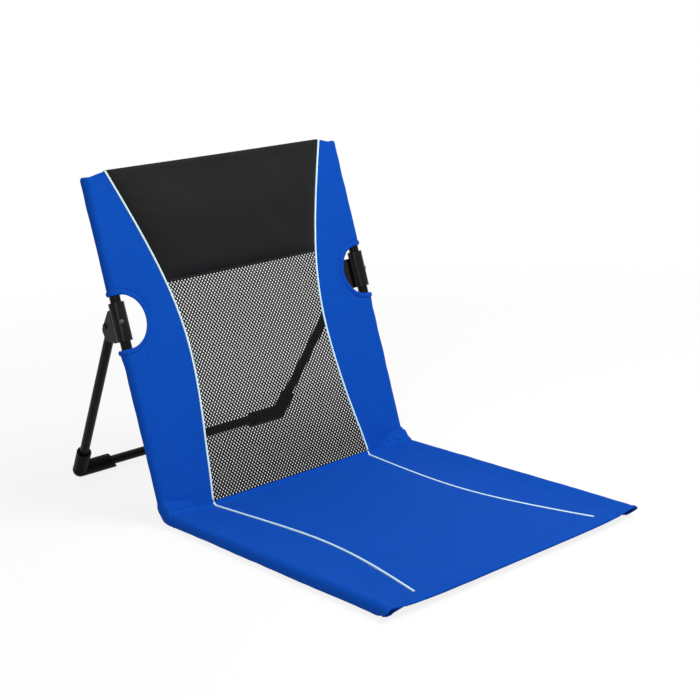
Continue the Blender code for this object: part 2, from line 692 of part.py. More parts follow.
def ear_outline():
    """Return the bracket ear's (behind, along) outline: a wedge with a rounded tip behind the pivot."""
    root = TUBE_BEHIND + BRACKET_RADIUS / 2
    neck = TUBE_BEHIND + BRACKET_RADIUS
    tip = (PIVOT_BEHIND + EAR_TIP_BEHIND, PIVOT_UP + EAR_TIP_UP)
    heel = (PIVOT_BEHIND + EAR_HEEL_BEHIND, PIVOT_UP + EAR_HEEL_UP)
    top = (neck, PIVOT_UP + EAR_TOP)
    low = BRACKET_UP - BRACKET_LENGTH / 2
    foot = (neck, low)
    tip_round = rounded(tip, heel, top, EAR_TIP_ROUND)
    heel_round = rounded(heel, foot, tip, EAR_TIP_ROUND)
    return [(root, low), foot, *heel_round, *tip_round, top, (root, top[1])]


def stand_brackets(shop):
    """Make the moulded sleeve on each back tube, with the forked ear that carries the stand."""
    width = 2 * (EAR_GAP + EAR_CHEEK)
    reach = LEG_STUB + LEG_TAPER * STAND_RADIUS
    stop = PIVOT_BEHIND - math.sin(STAND_ANGLE) * reach - math.cos(STAND_ANGLE) * STAND_RADIUS - CLEARANCE
    for word, side in SIDES.items():
        ear_place = (side * LEG_TOP_X, 0.0, 0.0)
        ear = plate([ear_outline()], width)
        bracket = shop.part(f"stand_bracket_{word}", ear, shop.back, (BLACK_PLASTIC, 0.5), ear_place, ALONG_X)
        slot = box((-EAR_GAP, stop, 0.0), (EAR_GAP, PIVOT_BEHIND * 2, BACK_LENGTH))
        cut(bracket, shop.tool(slot, shop.back, ear_place))
        axis = (side * TUBE_X, TUBE_BEHIND, BRACKET_UP)
        join(bracket, shop.tool(cylinder(BRACKET_RADIUS, BRACKET_LENGTH, 24), shop.back, axis))
        cut(bracket, shop.tool(cylinder(SLEEVE_BORE, 2 * BRACKET_LENGTH), shop.back, axis))
        rivet_bore = rod((-width, 0.0, 0.0), (width, 0.0, 0.0), RIVET_RADIUS + CLEARANCE, SMALL_ROUND)
        cut(bracket, shop.tool(rivet_bore, shop.back, (side * LEG_TOP_X, PIVOT_BEHIND, PIVOT_UP)))
        cut(bracket, shop.tool(screw_shape(side, SCREW_RADIUS + CLEARANCE, -CLEARANCE), shop.back))
        groove = box(
            (-GROOVE_WIDTH / 2, -BRACKET_RADIUS - GROOVE_DEPTH, -BRACKET_LENGTH),
            (GROOVE_WIDTH / 2, -BRACKET_RADIUS + GROOVE_DEPTH, BRACKET_LENGTH),
        )
        cut(bracket, shop.tool(groove, shop.back, axis, (0.0, 0.0, side * GROOVE_ANGLE)))


def pivot_rivets(shop):
    """Make the rivet that each leg swings on."""
    half = EAR_GAP + EAR_CHEEK + CLEARANCE
    profile = headed_profile(RIVET_RADIUS, half, RIVET_HEAD_RADIUS, RIVET_HEAD)
    finish = (BLACK_PAINT, 0.4, 0.6)
    for word, side in SIDES.items():
        place = (side * LEG_TOP_X, PIVOT_BEHIND, PIVOT_UP)
        mesh = turned(profile, SMALL_ROUND)
        shop.part(f"pivot_rivet_{word}", mesh, shop.back, finish, place, (0.0, math.pi / 2, 0.0))


def leg_point(side, down):
    """Return a point on a leg's axis, in the stand's frame, a distance below the pivot."""
    return Vector((side * (LEG_TOP_X - LEG_TAPER * down), 0.0, -down))


def stand(shop):
    """Make the stand: two legs, the crossbar on the ground and the moulded elbows that join them."""
    finish = (BLACK_PAINT, 0.4, 0.6)
    for word, side in SIDES.items():
        mesh = rod(leg_point(side, LEG_SPAN - ELBOW_FLOOR), leg_point(side, -LEG_STUB), STAND_RADIUS)
        leg = shop.part(f"stand_leg_{word}", mesh, shop.stand, finish)
        bore = rod((-WIDTH, 0.0, 0.0), (WIDTH, 0.0, 0.0), RIVET_RADIUS + CLEARANCE, SMALL_ROUND)
        cut(leg, shop.tool(bore, shop.stand))
        stand_elbow(shop, word, side)
    half = FOOT_HALF_SPACING - ELBOW_FLOOR
    bar = rod((-half, 0.0, -LEG_SPAN), (half, 0.0, -LEG_SPAN), STAND_RADIUS)
    shop.part("stand_crossbar", bar, shop.stand, finish)


def stand_elbow(shop, word, side):
    """Make a moulded corner: a rounded heel, a socket for the leg and a lipped socket for the crossbar."""
    corner = leg_point(side, LEG_SPAN)
    inward = Vector((-side, 0.0, 0.0))
    elbow = shop.part(f"stand_elbow_{word}", ball(ELBOW_RADIUS), shop.stand, (BLACK_PLASTIC, 0.5), corner)
    leg_mouth = leg_point(side, LEG_SPAN - ELBOW_LEG_SOCKET)
    join(elbow, shop.tool(rod(corner, leg_mouth, ELBOW_LEG_RADIUS), shop.stand))
    join(elbow, shop.tool(rod(corner, corner + inward * ELBOW_BAR_SOCKET, ELBOW_RADIUS), shop.stand))
    bore = STAND_RADIUS + CLEARANCE
    sink = ELBOW_FLOOR - CLEARANCE
    leg_bore = rod(leg_point(side, LEG_SPAN - sink), leg_point(side, LEG_SPAN - 2 * ELBOW_LEG_SOCKET), bore)
    cut(elbow, shop.tool(leg_bore, shop.stand))
    bar_bore = rod(corner + inward * sink, corner + inward * 2 * ELBOW_BAR_SOCKET, bore)
    cut(elbow, shop.tool(bar_bore, shop.stand))
    lip = [(ELBOW_LIP, 2 * ELBOW_RADIUS), (ELBOW_LIP, bore), (ELBOW_BAR_SOCKET - bore / 2, -bore / 3),
           (ELBOW_BAR_SOCKET, -ELBOW_RADIUS), (2 * ELBOW_BAR_SOCKET, -ELBOW_RADIUS),
           (2 * ELBOW_BAR_SOCKET, 2 * ELBOW_RADIUS)]
    lip_mesh = plate([[(-side * x, z) for x, z in lip]], 4 * ELBOW_RADIUS)
    cut(elbow, shop.tool(lip_mesh, shop.stand, corner, FACING))
    ground = box((-WIDTH, -WIDTH, -ELBOW_RADIUS), (WIDTH, 2 * WIDTH, 0.0))
    cut(elbow, shop.tool(ground, None))


def main():
    """Build the whole chair."""
    clear_scene()
    shop = Workshop()
    for make in (
        frame_tubes, end_plugs, hinges, stand_brackets, bracket_screws, pivot_rivets, stand,
        back_side_panels, seat_side_panels, seat_panel, head_panel, mesh_panel, piping,
    ):
        make(shop)


main()
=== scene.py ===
"""Looks of a folding beach lounger: its sling, net, piping and finishes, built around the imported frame.

Units are metres and +Z is up. Cloth is placed in two panel frames that share the hinge axis: a point has a
place across the chair, a distance along the panel from the hinge, and a depth behind the hinge axis.
"""

import json
import logging
import math
from dataclasses import dataclass
from enum import Enum
from typing import Callable, Iterable, NamedTuple, Optional, Sequence, Union

import bpy
from mathutils import Matrix, Vector, noise


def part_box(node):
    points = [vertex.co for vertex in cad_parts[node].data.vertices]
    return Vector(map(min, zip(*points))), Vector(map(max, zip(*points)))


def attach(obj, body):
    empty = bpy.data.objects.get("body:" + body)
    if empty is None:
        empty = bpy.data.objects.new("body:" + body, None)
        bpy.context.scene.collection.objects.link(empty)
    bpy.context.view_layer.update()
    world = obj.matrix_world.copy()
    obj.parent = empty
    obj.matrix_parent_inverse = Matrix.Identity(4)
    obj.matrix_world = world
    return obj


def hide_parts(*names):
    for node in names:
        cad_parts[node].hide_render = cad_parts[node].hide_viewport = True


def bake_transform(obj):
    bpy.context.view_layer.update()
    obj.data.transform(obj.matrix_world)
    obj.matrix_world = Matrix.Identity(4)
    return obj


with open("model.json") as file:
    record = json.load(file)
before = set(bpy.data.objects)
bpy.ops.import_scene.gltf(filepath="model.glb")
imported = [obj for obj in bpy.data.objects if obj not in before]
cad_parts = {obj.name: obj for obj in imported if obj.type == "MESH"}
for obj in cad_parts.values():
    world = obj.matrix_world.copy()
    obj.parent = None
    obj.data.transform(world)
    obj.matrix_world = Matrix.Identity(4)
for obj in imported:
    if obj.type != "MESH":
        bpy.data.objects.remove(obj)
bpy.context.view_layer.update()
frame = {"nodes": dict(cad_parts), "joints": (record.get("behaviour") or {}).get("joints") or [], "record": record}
LOG = logging.getLogger("lounger")

Number = Union[float, "Socket"]
Colour = tuple[float, float, float]
CLOTH_MAP = "cloth"
HEM_GROUP = "hem"
HEM_LAYERS = 2.0
STITCH_STEP = 0.004
WHITE = (1.0, 1.0, 1.0, 1.0)

JOINTS = {joint["name"]: joint for joint in frame["joints"]}
HINGE = Vector(JOINTS["back_fold"]["pos_m"])
RECLINE = math.radians(JOINTS["back_fold"]["range_deg"][1] - 90.0)
TURN = math.pi / 2 - RECLINE

TUBE_LOW, TUBE_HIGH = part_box("seat_tube_right")
SLEEVE_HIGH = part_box("seat_side_panel_right")[1]
TUBE_X = (TUBE_LOW.x + TUBE_HIGH.x) / 2
TUBE_DEPTH = HINGE.z - (TUBE_LOW.z + TUBE_HIGH.z) / 2
SLEEVE_RADIUS = SLEEVE_HIGH.x - TUBE_X
FACE_DEPTH = HINGE.z - SLEEVE_HIGH.z


class Side(Enum):
    """The two sides of the chair, as seen from in front, with their signs across it."""

    LEFT = -1.0
    RIGHT = 1.0

    @property
    def word(self) -> str:
        """The side's name as the nodes write it."""
        return self.name.lower()


def clamp(value: float) -> float:
    """Hold a number between 0 and 1."""
    return min(1.0, max(0.0, value))


def bell(value: float, width: float) -> float:
    """Return a bump that is 1 at 0 and fades out over a width on both sides."""
    return math.exp(-((value / width) ** 2))


def smooth(value: float, low: float, high: float) -> float:
    """Ease from 0 at low to 1 at high."""
    share = clamp((value - low) / (high - low))
    return share * share * (3.0 - 2.0 * share)


def lerp(first: float, last: float, share: float) -> float:
    """Return the number a share of the way from first to last."""
    return first + (last - first) * share


def spread(first: float, last: float, pitch: float) -> list[float]:
    """Return even steps from first to last, both included, no longer than the pitch."""
    count = max(1, math.ceil(abs(last - first) / pitch))
    return [lerp(first, last, i / count) for i in range(count + 1)]


def ripple(across: float, along: float, size: float, seed: float) -> float:
    """Return smooth noise of about one wave per size, from about -1 to 1."""
    return noise.noise(Vector((across / size, along / size, seed)))


@dataclass(frozen=True)
class Seam:
    """A piped seam, one cubic from the fold to its far end.

    Args:
        fold: Half spacing of the seams at the fold.
        far: Half spacing at the far end.
        span: Length along the panel.
        leans: Slopes across the panel at the fold and at the far end.
        reach: Length of the cubic's handles along the panel.
    """

    fold: float
    far: float
    span: float
    leans: tuple[float, float]
    reach: float

    def point(self, share: float) -> tuple[float, float]:
        """Return the (across, along) point at a share of the cubic.

        Args:
            share: Place on the cubic, from 0 at the fold to 1 at the far end.

        Returns:
            The places across and along the panel.
        """
        rest = 1.0 - share
        weights = (rest**3, 3 * rest * rest * share, 3 * rest * share * share, share**3)
        across = (self.fold, self.fold + self.leans[0] * self.reach,
                  self.far - self.leans[1] * self.reach, self.far)
        along = (0.0, self.reach, self.span - self.reach, self.span)
        return (sum(w * x for w, x in zip(weights, across)), sum(w * z for w, z in zip(weights, along)))

    def across(self, along: float) -> float:
        """Return the seam's half spacing at a distance along the panel.

        Args:
            along: Distance from the hinge, held within the seam.

        Returns:
            The distance from the middle of the chair.
        """
        low, high = 0.0, 1.0
        for _ in range(30):
            middle = (low + high) / 2
            low, high = (middle, high) if self.point(middle)[1] < along else (low, middle)
        return self.point(low)[0]


BACK_SEAM = Seam(fold=0.125, far=0.1647, span=0.4085, leans=(-0.15, 0.38), reach=0.1887)
SEAT_SEAM = Seam(fold=0.125, far=0.141, span=0.370, leans=(-0.10, 0.24), reach=0.169)
BACK_LENGTH = 0.400
SEAT_LENGTH = 0.388
HEAD_SEAM = 0.266
FOLD_SETBACK = 0.0035
SEAT_SAG = (0.0080, 0.0056)
BACK_LEAD = 0.0018


@dataclass(frozen=True)
class Panel:
    """A half of the chair that cloth is laid on.

    Args:
        body: The moving body that carries the panel.
        along: The direction away from the hinge.
        behind: The direction away from the sitter.
        sign: Sign of the panel's distances along the whole sling.
        seam: Its piped seam.
    """

    body: str
    along: Vector
    behind: Vector
    sign: float
    seam: Seam

    def at(self, across: float, along: float, depth: float) -> Vector:
        """Return a point of the panel in the shared frame."""
        return HINGE + Vector((across, 0.0, 0.0)) + self.along * along + self.behind * depth


BACK = Panel("back", Vector((0.0, math.sin(RECLINE), math.cos(RECLINE))),
             Vector((0.0, math.cos(RECLINE), -math.sin(RECLINE))), 1.0, BACK_SEAM)
SEAT = Panel("seat", Vector((0.0, -1.0, 0.0)), Vector((0.0, 0.0, -1.0)), -1.0, SEAT_SEAM)


class Socket:
    """An output socket whose arithmetic adds Math nodes to its graph."""

    def __init__(self, graph: "Graph", output: bpy.types.NodeSocket) -> None:
        """Keep the graph and the socket."""
        self.graph = graph
        self.output = output

    def math(self, operation: str, first: Number, second: Number = 0.0) -> "Socket":
        """Return the result of one Math node."""
        return self.graph.node("ShaderNodeMath", {"operation": operation}, {0: first, 1: second})

    def __add__(self, other: Number) -> "Socket":
        """Add a number or a socket."""
        return self.math("ADD", self, other)

    __radd__ = __add__

    def __sub__(self, other: Number) -> "Socket":
        """Take away a number or a socket."""
        return self.math("SUBTRACT", self, other)

    def __rsub__(self, other: Number) -> "Socket":
        """Take this socket away from a number."""
        return self.math("SUBTRACT", other, self)

    def __mul__(self, other: Number) -> "Socket":
        """Multiply by a number or a socket."""
        return self.math("MULTIPLY", self, other)

    __rmul__ = __mul__

    def sine(self) -> "Socket":
        """Return the sine."""
        return self.math("SINE", self)

    def above(self, limit: Number) -> "Socket":
        """Return 1 where the value is above a limit, and 0 elsewhere."""
        return self.math("GREATER_THAN", self, limit)

    def at_most(self, limit: Number) -> "Socket":
        """Return the value, held at a limit."""
        return self.math("MINIMUM", self, limit)


class Graph:
    """A node tree that shaders are written in."""

    def __init__(self, tree: bpy.types.NodeTree) -> None:
        """Start from an empty tree."""
        self.tree = tree
        self.tree.nodes.clear()

    def node(self, kind: str, settings: Optional[dict] = None, values: Optional[dict] = None,
             output: Union[int, str] = 0) -> Optional[Socket]:
        """Add one node.

        Args:
            kind: The node's type.
            settings: Its properties, which are set first.
            values: Its sockets' values or links, by name or number.
            output: The output to return.

        Returns:
            The chosen output, or None from a node that has none.
        """
        node = self.tree.nodes.new(kind)
        for name, value in (settings or {}).items():
            setattr(node, name, value)
        for key, value in (values or {}).items():
            if isinstance(value, Socket):
                self.tree.links.new(value.output, node.inputs[key])
            else:
                node.inputs[key].default_value = value
        return Socket(self, node.outputs[output]) if node.outputs else None

    def tint(self, share: Number, first: Colour, last: Colour) -> Socket:
        """Return a colour mixed from two."""
        return self.node("ShaderNodeMix", {"data_type": "RGBA"}, {0: share, 6: (*first, 1.0), 7: (*last, 1.0)}, 2)

    def noise(self, place: Socket, scale: float, detail: float) -> Socket:
        """Return noise from 0 to 1."""
        return self.node("ShaderNodeTexNoise", None,
                         {"Vector": place, "Scale": scale, "Detail": detail, "Roughness": 0.55})

    def stretched(self, place: Socket, scale: Sequence[float]) -> Socket:
        """Return coordinates multiplied along each axis."""
        return self.node("ShaderNodeVectorMath", {"operation": "MULTIPLY"}, {0: place, 1: tuple(scale)})

    def bump(self, height: Socket, distance: float, strength: float) -> Socket:
        """Return a normal bent by a height."""
        return self.node("ShaderNodeBump", None,
                         {"Strength": strength, "Distance": distance, "Height": height})


@dataclass(frozen=True)
class Finish:
    """A finish that is written as a Principled material.

    Args:
        name: The material's name.
        slot: The record's material slot.
        light: Colour on the crests of threads and strands, where it is painted highlight, and where the surface is
            rubbed or dusty.
        dark: Colour in the hollows between threads and strands, where it is painted shade, and where the surface is
            clean.
        roughness: Roughness that the surface varies from.
        gloss: Specular level.
    """

    name: str
    slot: str
    light: Colour
    dark: Colour
    roughness: float
    gloss: float

    def write(self, graph: Graph) -> dict:
        """Write the surface into a graph, and return the shader's values and links by socket name."""
        raise NotImplementedError

    def material(self) -> bpy.types.Material:
        """Return the finish as a material.

        Returns:
            A material with one Principled shader.
        """
        material = bpy.data.materials.new(self.name)
        material.use_nodes = True
        graph = Graph(material.node_tree)
        values = {**self.write(graph), "Specular IOR Level": self.gloss}
        shader = graph.node("ShaderNodeBsdfPrincipled", None, values)
        graph.node("ShaderNodeOutputMaterial", None, {"Surface": shader})
        return material


@dataclass(frozen=True)
class ClothFinish(Finish):
    """Woven cloth that takes its thread lines from the cloth map.

    Args:
        thread: Spacing of the threads.
        sheen: Weight of the sheen.
        relief: Height of the weave.
        streak: Strength of the uneven yarns.
        weave_shade: How much the weave is painted into the colour, as painted highlight on the threads' crests and
            painted shade between them.
        clouded: How much soft clouds shade it.
        slubs: Uneven places along a metre of yarn.
        clouds: Clouds along a metre of cloth.
    """

    thread: float
    sheen: float
    relief: float
    streak: float
    weave_shade: float = 0.34
    clouded: float = 0.30
    slubs: float = 9.0
    clouds: float = 14.0

    def write(self, graph: Graph) -> dict:
        """Write the weave.

        Args:
            graph: The material's graph.

        Returns:
            The shader's values and links.
        """
        place = graph.node("ShaderNodeUVMap", {"uv_map": CLOTH_MAP})
        across = graph.node("ShaderNodeSeparateXYZ", None, {0: place}, "X")
        along = Socket(graph, across.output.node.outputs["Y"])
        turn, fine = math.pi / self.thread, 1.0 / self.thread
        over = ((across * turn).sine() * (along * turn).sine()).above(0.0)
        warp, weft = ((way * (2 * turn) - math.pi / 2).sine() * 0.5 + 0.5 for way in (across, along))
        weave = over * warp + (1.0 - over) * weft
        scales = ((fine, self.slubs, 1.0), (self.slubs, fine, 1.0))
        yarn, pick = (graph.noise(graph.stretched(place, scale), 1.0, 1.0) for scale in scales)
        cloudy = graph.noise(place, self.clouds, 3.0)
        # The weave paints highlight on the threads' crests and shade between them; the slubs and clouds are the
        # cloth's own uneven tone.
        shade = weave * self.weave_shade + (yarn + pick) * self.streak + cloudy * self.clouded
        height = weave + (yarn + pick) * 0.35
        return {
            "Base Color": graph.tint(shade.at_most(1.0), self.dark, self.light),
            "Roughness": weave * -0.10 + cloudy * 0.12 + self.roughness,
            "Normal": graph.bump(height, self.relief, 0.55),
            "Sheen Weight": self.sheen,
            "Sheen Roughness": 0.4,
        }


@dataclass(frozen=True)
class CordFinish(Finish):
    """Piping, sewing thread or net yarn with a fine twist.

    Args:
        twist: Strands per metre.
        relief: Height of the strands.
        strands: How much the twist is painted into the colour, as painted highlight on the strands and painted shade
            in their grooves.
        soiled: How much soft patches shade it.
        patches: Patches along a metre.
    """

    twist: float
    relief: float = 0.0002
    strands: float = 0.45
    soiled: float = 0.6
    patches: float = 45.0

    def write(self, graph: Graph) -> dict:
        """Write the twisted yarn.

        Args:
            graph: The material's graph.

        Returns:
            The shader's values and links.
        """
        place = graph.node("ShaderNodeTexCoord", None, None, "Object")
        bands = graph.node("ShaderNodeTexWave", {"bands_direction": "DIAGONAL"},
                           {"Vector": place, "Scale": self.twist, "Distortion": 1.5}, 1)
        soil = graph.noise(place, self.patches, 3.0)
        # The twist's bands paint highlight on the strands and shade in their grooves; the soil patches are the
        # cord's own dirt.
        shade = bands * self.strands + soil * self.soiled
        return {
            "Base Color": graph.tint(shade.at_most(1.0), self.dark, self.light),
            "Roughness": soil * 0.15 + self.roughness,
            "Normal": graph.bump(bands, self.relief, 0.4),
        }


@dataclass(frozen=True)
class HardFinish(Finish):
    """Paint, moulded plastic or plated steel, with grain, dust and a worn sheen.

    Args:
        uneven: How much the roughness varies.
        metallic: Metallic value.
        grain: Size of the grain.
        relief: Height of the grain.
        dusty: How much the patches shade the colour; the grain takes the rest.
        patches: Patches along a metre.
    """

    uneven: float
    metallic: float
    grain: float
    relief: float
    dusty: float = 0.75
    patches: float = 38.0

    def write(self, graph: Graph) -> dict:
        """Write the grain and the patches.

        Args:
            graph: The material's graph.

        Returns:
            The shader's values and links.
        """
        place = graph.node("ShaderNodeTexCoord", None, None, "Object")
        grain = graph.noise(place, 1.0 / self.grain, 2.0)
        patches = graph.noise(place, self.patches, 4.0)
        shade = patches * self.dusty + grain * (1.0 - self.dusty)
        return {
            "Base Color": graph.tint(shade, self.dark, self.light),
            "Roughness": patches * self.uneven + grain * (self.uneven * 0.5) + self.roughness,
            "Metallic": self.metallic,
            "Normal": graph.bump(grain, self.relief, 0.5),
        }


BLUE_CLOTH = ClothFinish("blue_oxford", "sling_fabric", (0.0058, 0.090, 0.515), (0.0018, 0.047, 0.335),
                         roughness=0.68, gloss=0.02, thread=0.0007, sheen=0.01, relief=0.00012, streak=0.18)
BLACK_CLOTH = ClothFinish("black_satin_cloth", "head_fabric", (0.0175, 0.0175, 0.018), (0.0072, 0.0072, 0.0076),
                          roughness=0.40, gloss=0.045, thread=0.0006, sheen=0.01, relief=0.00006, streak=0.16)
NET_YARN = CordFinish("net_yarn", "net", (0.012, 0.012, 0.0125), (0.003, 0.003, 0.0034),
                      roughness=0.62, gloss=0.05, twist=420.0)
PALE_PIPING = CordFinish("pale_piping", "piping_cord", (0.80, 0.99, 1.0), (0.62, 0.90, 1.0),
                         roughness=0.5, gloss=0.3, twist=260.0)
BLUE_THREAD = CordFinish("blue_thread", "sling_fabric", (0.010, 0.110, 0.56), (0.003, 0.045, 0.30),
                         roughness=0.55, gloss=0.2, twist=700.0)
BLACK_THREAD = CordFinish("black_thread", "head_fabric", (0.036, 0.036, 0.038), (0.012, 0.012, 0.013),
                          roughness=0.5, gloss=0.3, twist=700.0)
BLACK_PAINT = HardFinish("black_powder_coat", "painted_tube", (0.0055, 0.0055, 0.0058), (0.0018, 0.0018, 0.0019),
                         roughness=0.24, gloss=0.08, uneven=0.16, metallic=0.0, grain=0.0009, relief=0.00006)
BLACK_MOULDING = HardFinish("black_moulding", "moulding", (0.0065, 0.0065, 0.0068), (0.0020, 0.0020, 0.0021),
                            roughness=0.24, gloss=0.12, uneven=0.16, metallic=0.0, grain=0.0006, relief=0.00005)
# A darker, duller copy of the black moulding: painted shade for the elbows down by the floor.
SHADED_MOULDING = HardFinish("black_moulding_shaded", "moulding", (0.0040, 0.0040, 0.0042), (0.0012, 0.0012, 0.0013),
                          roughness=0.30, gloss=0.05, uneven=0.16, metallic=0.0, grain=0.0006, relief=0.00005)
STEEL = HardFinish("plated_steel", "fastener", (0.105, 0.105, 0.108), (0.05, 0.05, 0.052),
                   roughness=0.36, gloss=0.5, uneven=0.25, metallic=1.0, grain=0.0012, relief=0.00002)


def new_piece(name: str, spots: Sequence[Sequence[float]], faces: Sequence[Sequence[int]],
              rounded: bool = True) -> bpy.types.Object:
    """Add a mesh to the scene.

    Args:
        name: Name of the piece.
        spots: Its points.
        faces: Its faces, as numbers of points.
        rounded: Whether its faces are shaded smooth.

    Returns:
        The new object.
    """
    mesh = bpy.data.meshes.new(name)
    mesh.from_pydata(spots, [], faces)
    if rounded:
        mesh.shade_smooth()
    obj = bpy.data.objects.new(name, mesh)
    bpy.context.scene.collection.objects.link(obj)
    return obj


def thicken(obj: bpy.types.Object, thickness: float) -> bpy.types.SolidifyModifier:
    """Give a mesh a thickness behind its front face.

    Args:
        obj: The piece.
        thickness: Its thickness.

    Returns:
        The modifier.
    """
    solid = obj.modifiers.new("thickness", "SOLIDIFY")
    solid.thickness = thickness
    solid.offset = -1.0
    return solid


def ring(centre: Vector, first: Vector, second: Vector, radius: float, sides: int) -> list[Vector]:
    """Return evenly spaced points of a circle, from a first direction towards a second at right angles."""
    angles = [2 * math.pi * j / sides for j in range(sides)]
    return [centre + (first * math.cos(a) + second * math.sin(a)) * radius for a in angles]


@dataclass
class ClothPoint:
    """A point of a sheet.

    Args:
        place: Where it lies in the shared frame.
        flat: Where it lay on the flat cut, in metres.
        hem: How much of a doubled hem it has, from 0 to 1.
    """

    place: Vector
    flat: tuple[float, float]
    hem: float = 0.0


Row = list[Optional[ClothPoint]]


class Sheet:
    """A sheet of cloth made of rows of points, with thickness, a cloth map and doubled hems."""

    def __init__(self, name: str, thickness: float, rows: Sequence[Row], flip: bool = False) -> None:
        """Lay quads between neighbouring points of neighbouring rows.

        Args:
            name: Name of the piece.
            thickness: Thickness of the cloth, outside its hems.
            rows: Points in rows of equal length, None where there is no cloth.
            flip: Whether the front face is on the other side.
        """
        self.name = name
        self.thickness = thickness
        self.points: list[ClothPoint] = []
        self.faces: list[list[int]] = []
        numbers: list[list[Optional[int]]] = []
        for row in rows:
            line: list[Optional[int]] = []
            for point in row:
                line.append(None if point is None else len(self.points))
                if point is not None:
                    self.points.append(point)
            numbers.append(line)
        for first, last in zip(numbers, numbers[1:]):
            for j in range(len(first) - 1):
                corners = [first[j], first[j + 1], last[j + 1], last[j]]
                if None not in corners:
                    self.faces.append(corners[::-1] if flip else corners)

    def flat_area(self) -> float:
        """Return the area of the flat cut.

        Returns:
            The area, in square metres.
        """
        total = 0.0
        for face in self.faces:
            spots = [self.points[i].flat for i in face]
            pairs = zip(spots, spots[1:] + spots[:1])
            total += abs(sum(a[0] * b[1] - b[0] * a[1] for a, b in pairs)) / 2
        return total

    def flat_size(self) -> tuple[float, float]:
        """Return the width and length of the flat cut."""
        across, along = zip(*(point.flat for point in self.points))
        return (max(across) - min(across), max(along) - min(along))

    def build(self, finish: Finish) -> bpy.types.Object:
        """Make the sheet, dressed in a finish.

        Args:
            finish: The cloth's finish.

        Returns:
            An object whose thickness lies behind its front face.
        """
        obj = new_piece(self.name, [point.place for point in self.points], self.faces)
        layer = obj.data.uv_layers.new(name=CLOTH_MAP)
        for loop in obj.data.loops:
            layer.data[loop.index].uv = self.points[loop.vertex_index].flat
        group = obj.vertex_groups.new(name=HEM_GROUP)
        for i, point in enumerate(self.points):
            group.add([i], point.hem, "REPLACE")
        solid = thicken(obj, HEM_LAYERS * self.thickness)
        solid.vertex_group = HEM_GROUP
        solid.thickness_vertex_group = 1.0 / HEM_LAYERS
        dress(obj, finish)
        return obj


def dress(obj: bpy.types.Object, finish: Finish) -> None:
    """Give a piece its finish, in place of any that it has.

    Args:
        obj: The piece.
        finish: Its finish.
    """
    obj.data.materials.clear()
    obj.data.materials.append(PAINTS[finish.name])


def cross_hinge(obj: bpy.types.Object, reach: float = 0.007) -> None:
    """Bake a sheet's placement into its mesh; the reach on each side of the hinge does not change it."""
    way = (BACK.along - SEAT.along).normalized()
    HINGE - way * reach
    HINGE + way * reach
    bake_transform(obj)


def hang(across: float) -> float:
    """Return how much of its slack the cloth shows, from 0 at a tube to 1 in the middle of the chair."""
    return 1.0 - min(1.0, abs(across) / TUBE_X) ** 6


def seat_sag(across: float, along: float) -> float:
    """Return how far the seat's cloth hangs below the tops of its tubes."""
    return lerp(*SEAT_SAG, smooth(along, 0.0, SEAT_LENGTH)) * hang(across)


def back_lead(across: float, along: float) -> float:
    """Return how far the back's cloth lies behind its plane; above the fold it is drawn forward."""
    return -BACK_LEAD * hang(across) * (1.0 - smooth(along, 0.013, 0.07))


def sag_of(panel: Panel, across: float, along: float) -> float:
    """Return how far a panel's cloth lies behind its plane."""
    return seat_sag(across, along) if panel is SEAT else back_lead(across, along)


def fold_at(seat_depth: float, back_depth: float) -> tuple[float, float]:
    """Return where cloth at two depths meets, as distances along the seat and along the back."""
    lead = (seat_depth * math.sin(RECLINE) - back_depth) / math.cos(RECLINE)
    return lead, -lead * math.sin(RECLINE) - seat_depth * math.cos(RECLINE)


def corner_path(depths: tuple[float, float], ends: tuple[float, float], setback: float, bridge: float,
                count: int) -> list[Vector]:
    """Follow the cloth round the corner between the seat and the back.

    Args:
        depths: Depths of the seat's and the back's cloth behind the hinge axis.
        ends: Distances along the seat and along the back at which the path starts and ends.
        setback: Distance from the fold at which the cloth starts to turn.
        bridge: How far the turn is drawn out to a straight bridge, from 0 to 1.
        count: Number of steps.

    Returns:
        Evenly spaced offsets from the hinge axis, without a place across the chair.
    """
    folds = fold_at(*depths)
    runs = [end - fold for end, fold in zip(ends, folds)]
    setback = min(setback, *runs)
    radius = setback / math.tan(TURN / 2)
    before, curved, after = runs[0] - setback, radius * TURN, runs[1] - setback
    start = SEAT.along * (folds[0] + setback) + SEAT.behind * depths[0]
    end = BACK.along * (folds[1] + setback) + BACK.behind * depths[1]
    points = []
    for i in range(count + 1):
        run = (before + curved + after) * i / count
        if run <= before:
            points.append(start + SEAT.along * (before - run))
        elif run >= before + curved:
            points.append(end + BACK.along * (run - before - curved))
        else:
            angle = (run - before) / radius
            turned = start - SEAT.along * (radius * math.sin(angle))
            turned -= SEAT.behind * (radius * (1.0 - math.cos(angle)))
            points.append(turned.lerp(start.lerp(end, angle / TURN), bridge))
    return points


class CoverPoint(NamedTuple):
    """A point of a side cover's cross-section.

    Args:
        across: Place across the chair, as on its right-hand side.
        depth: Depth behind the hinge axis.
        along: Distance along the panel.
        girth: Place across the flat cut.
        hem: How much of a doubled hem it has, from 0 to 1.
    """

    across: float
    depth: float
    along: float
    girth: float
    hem: float


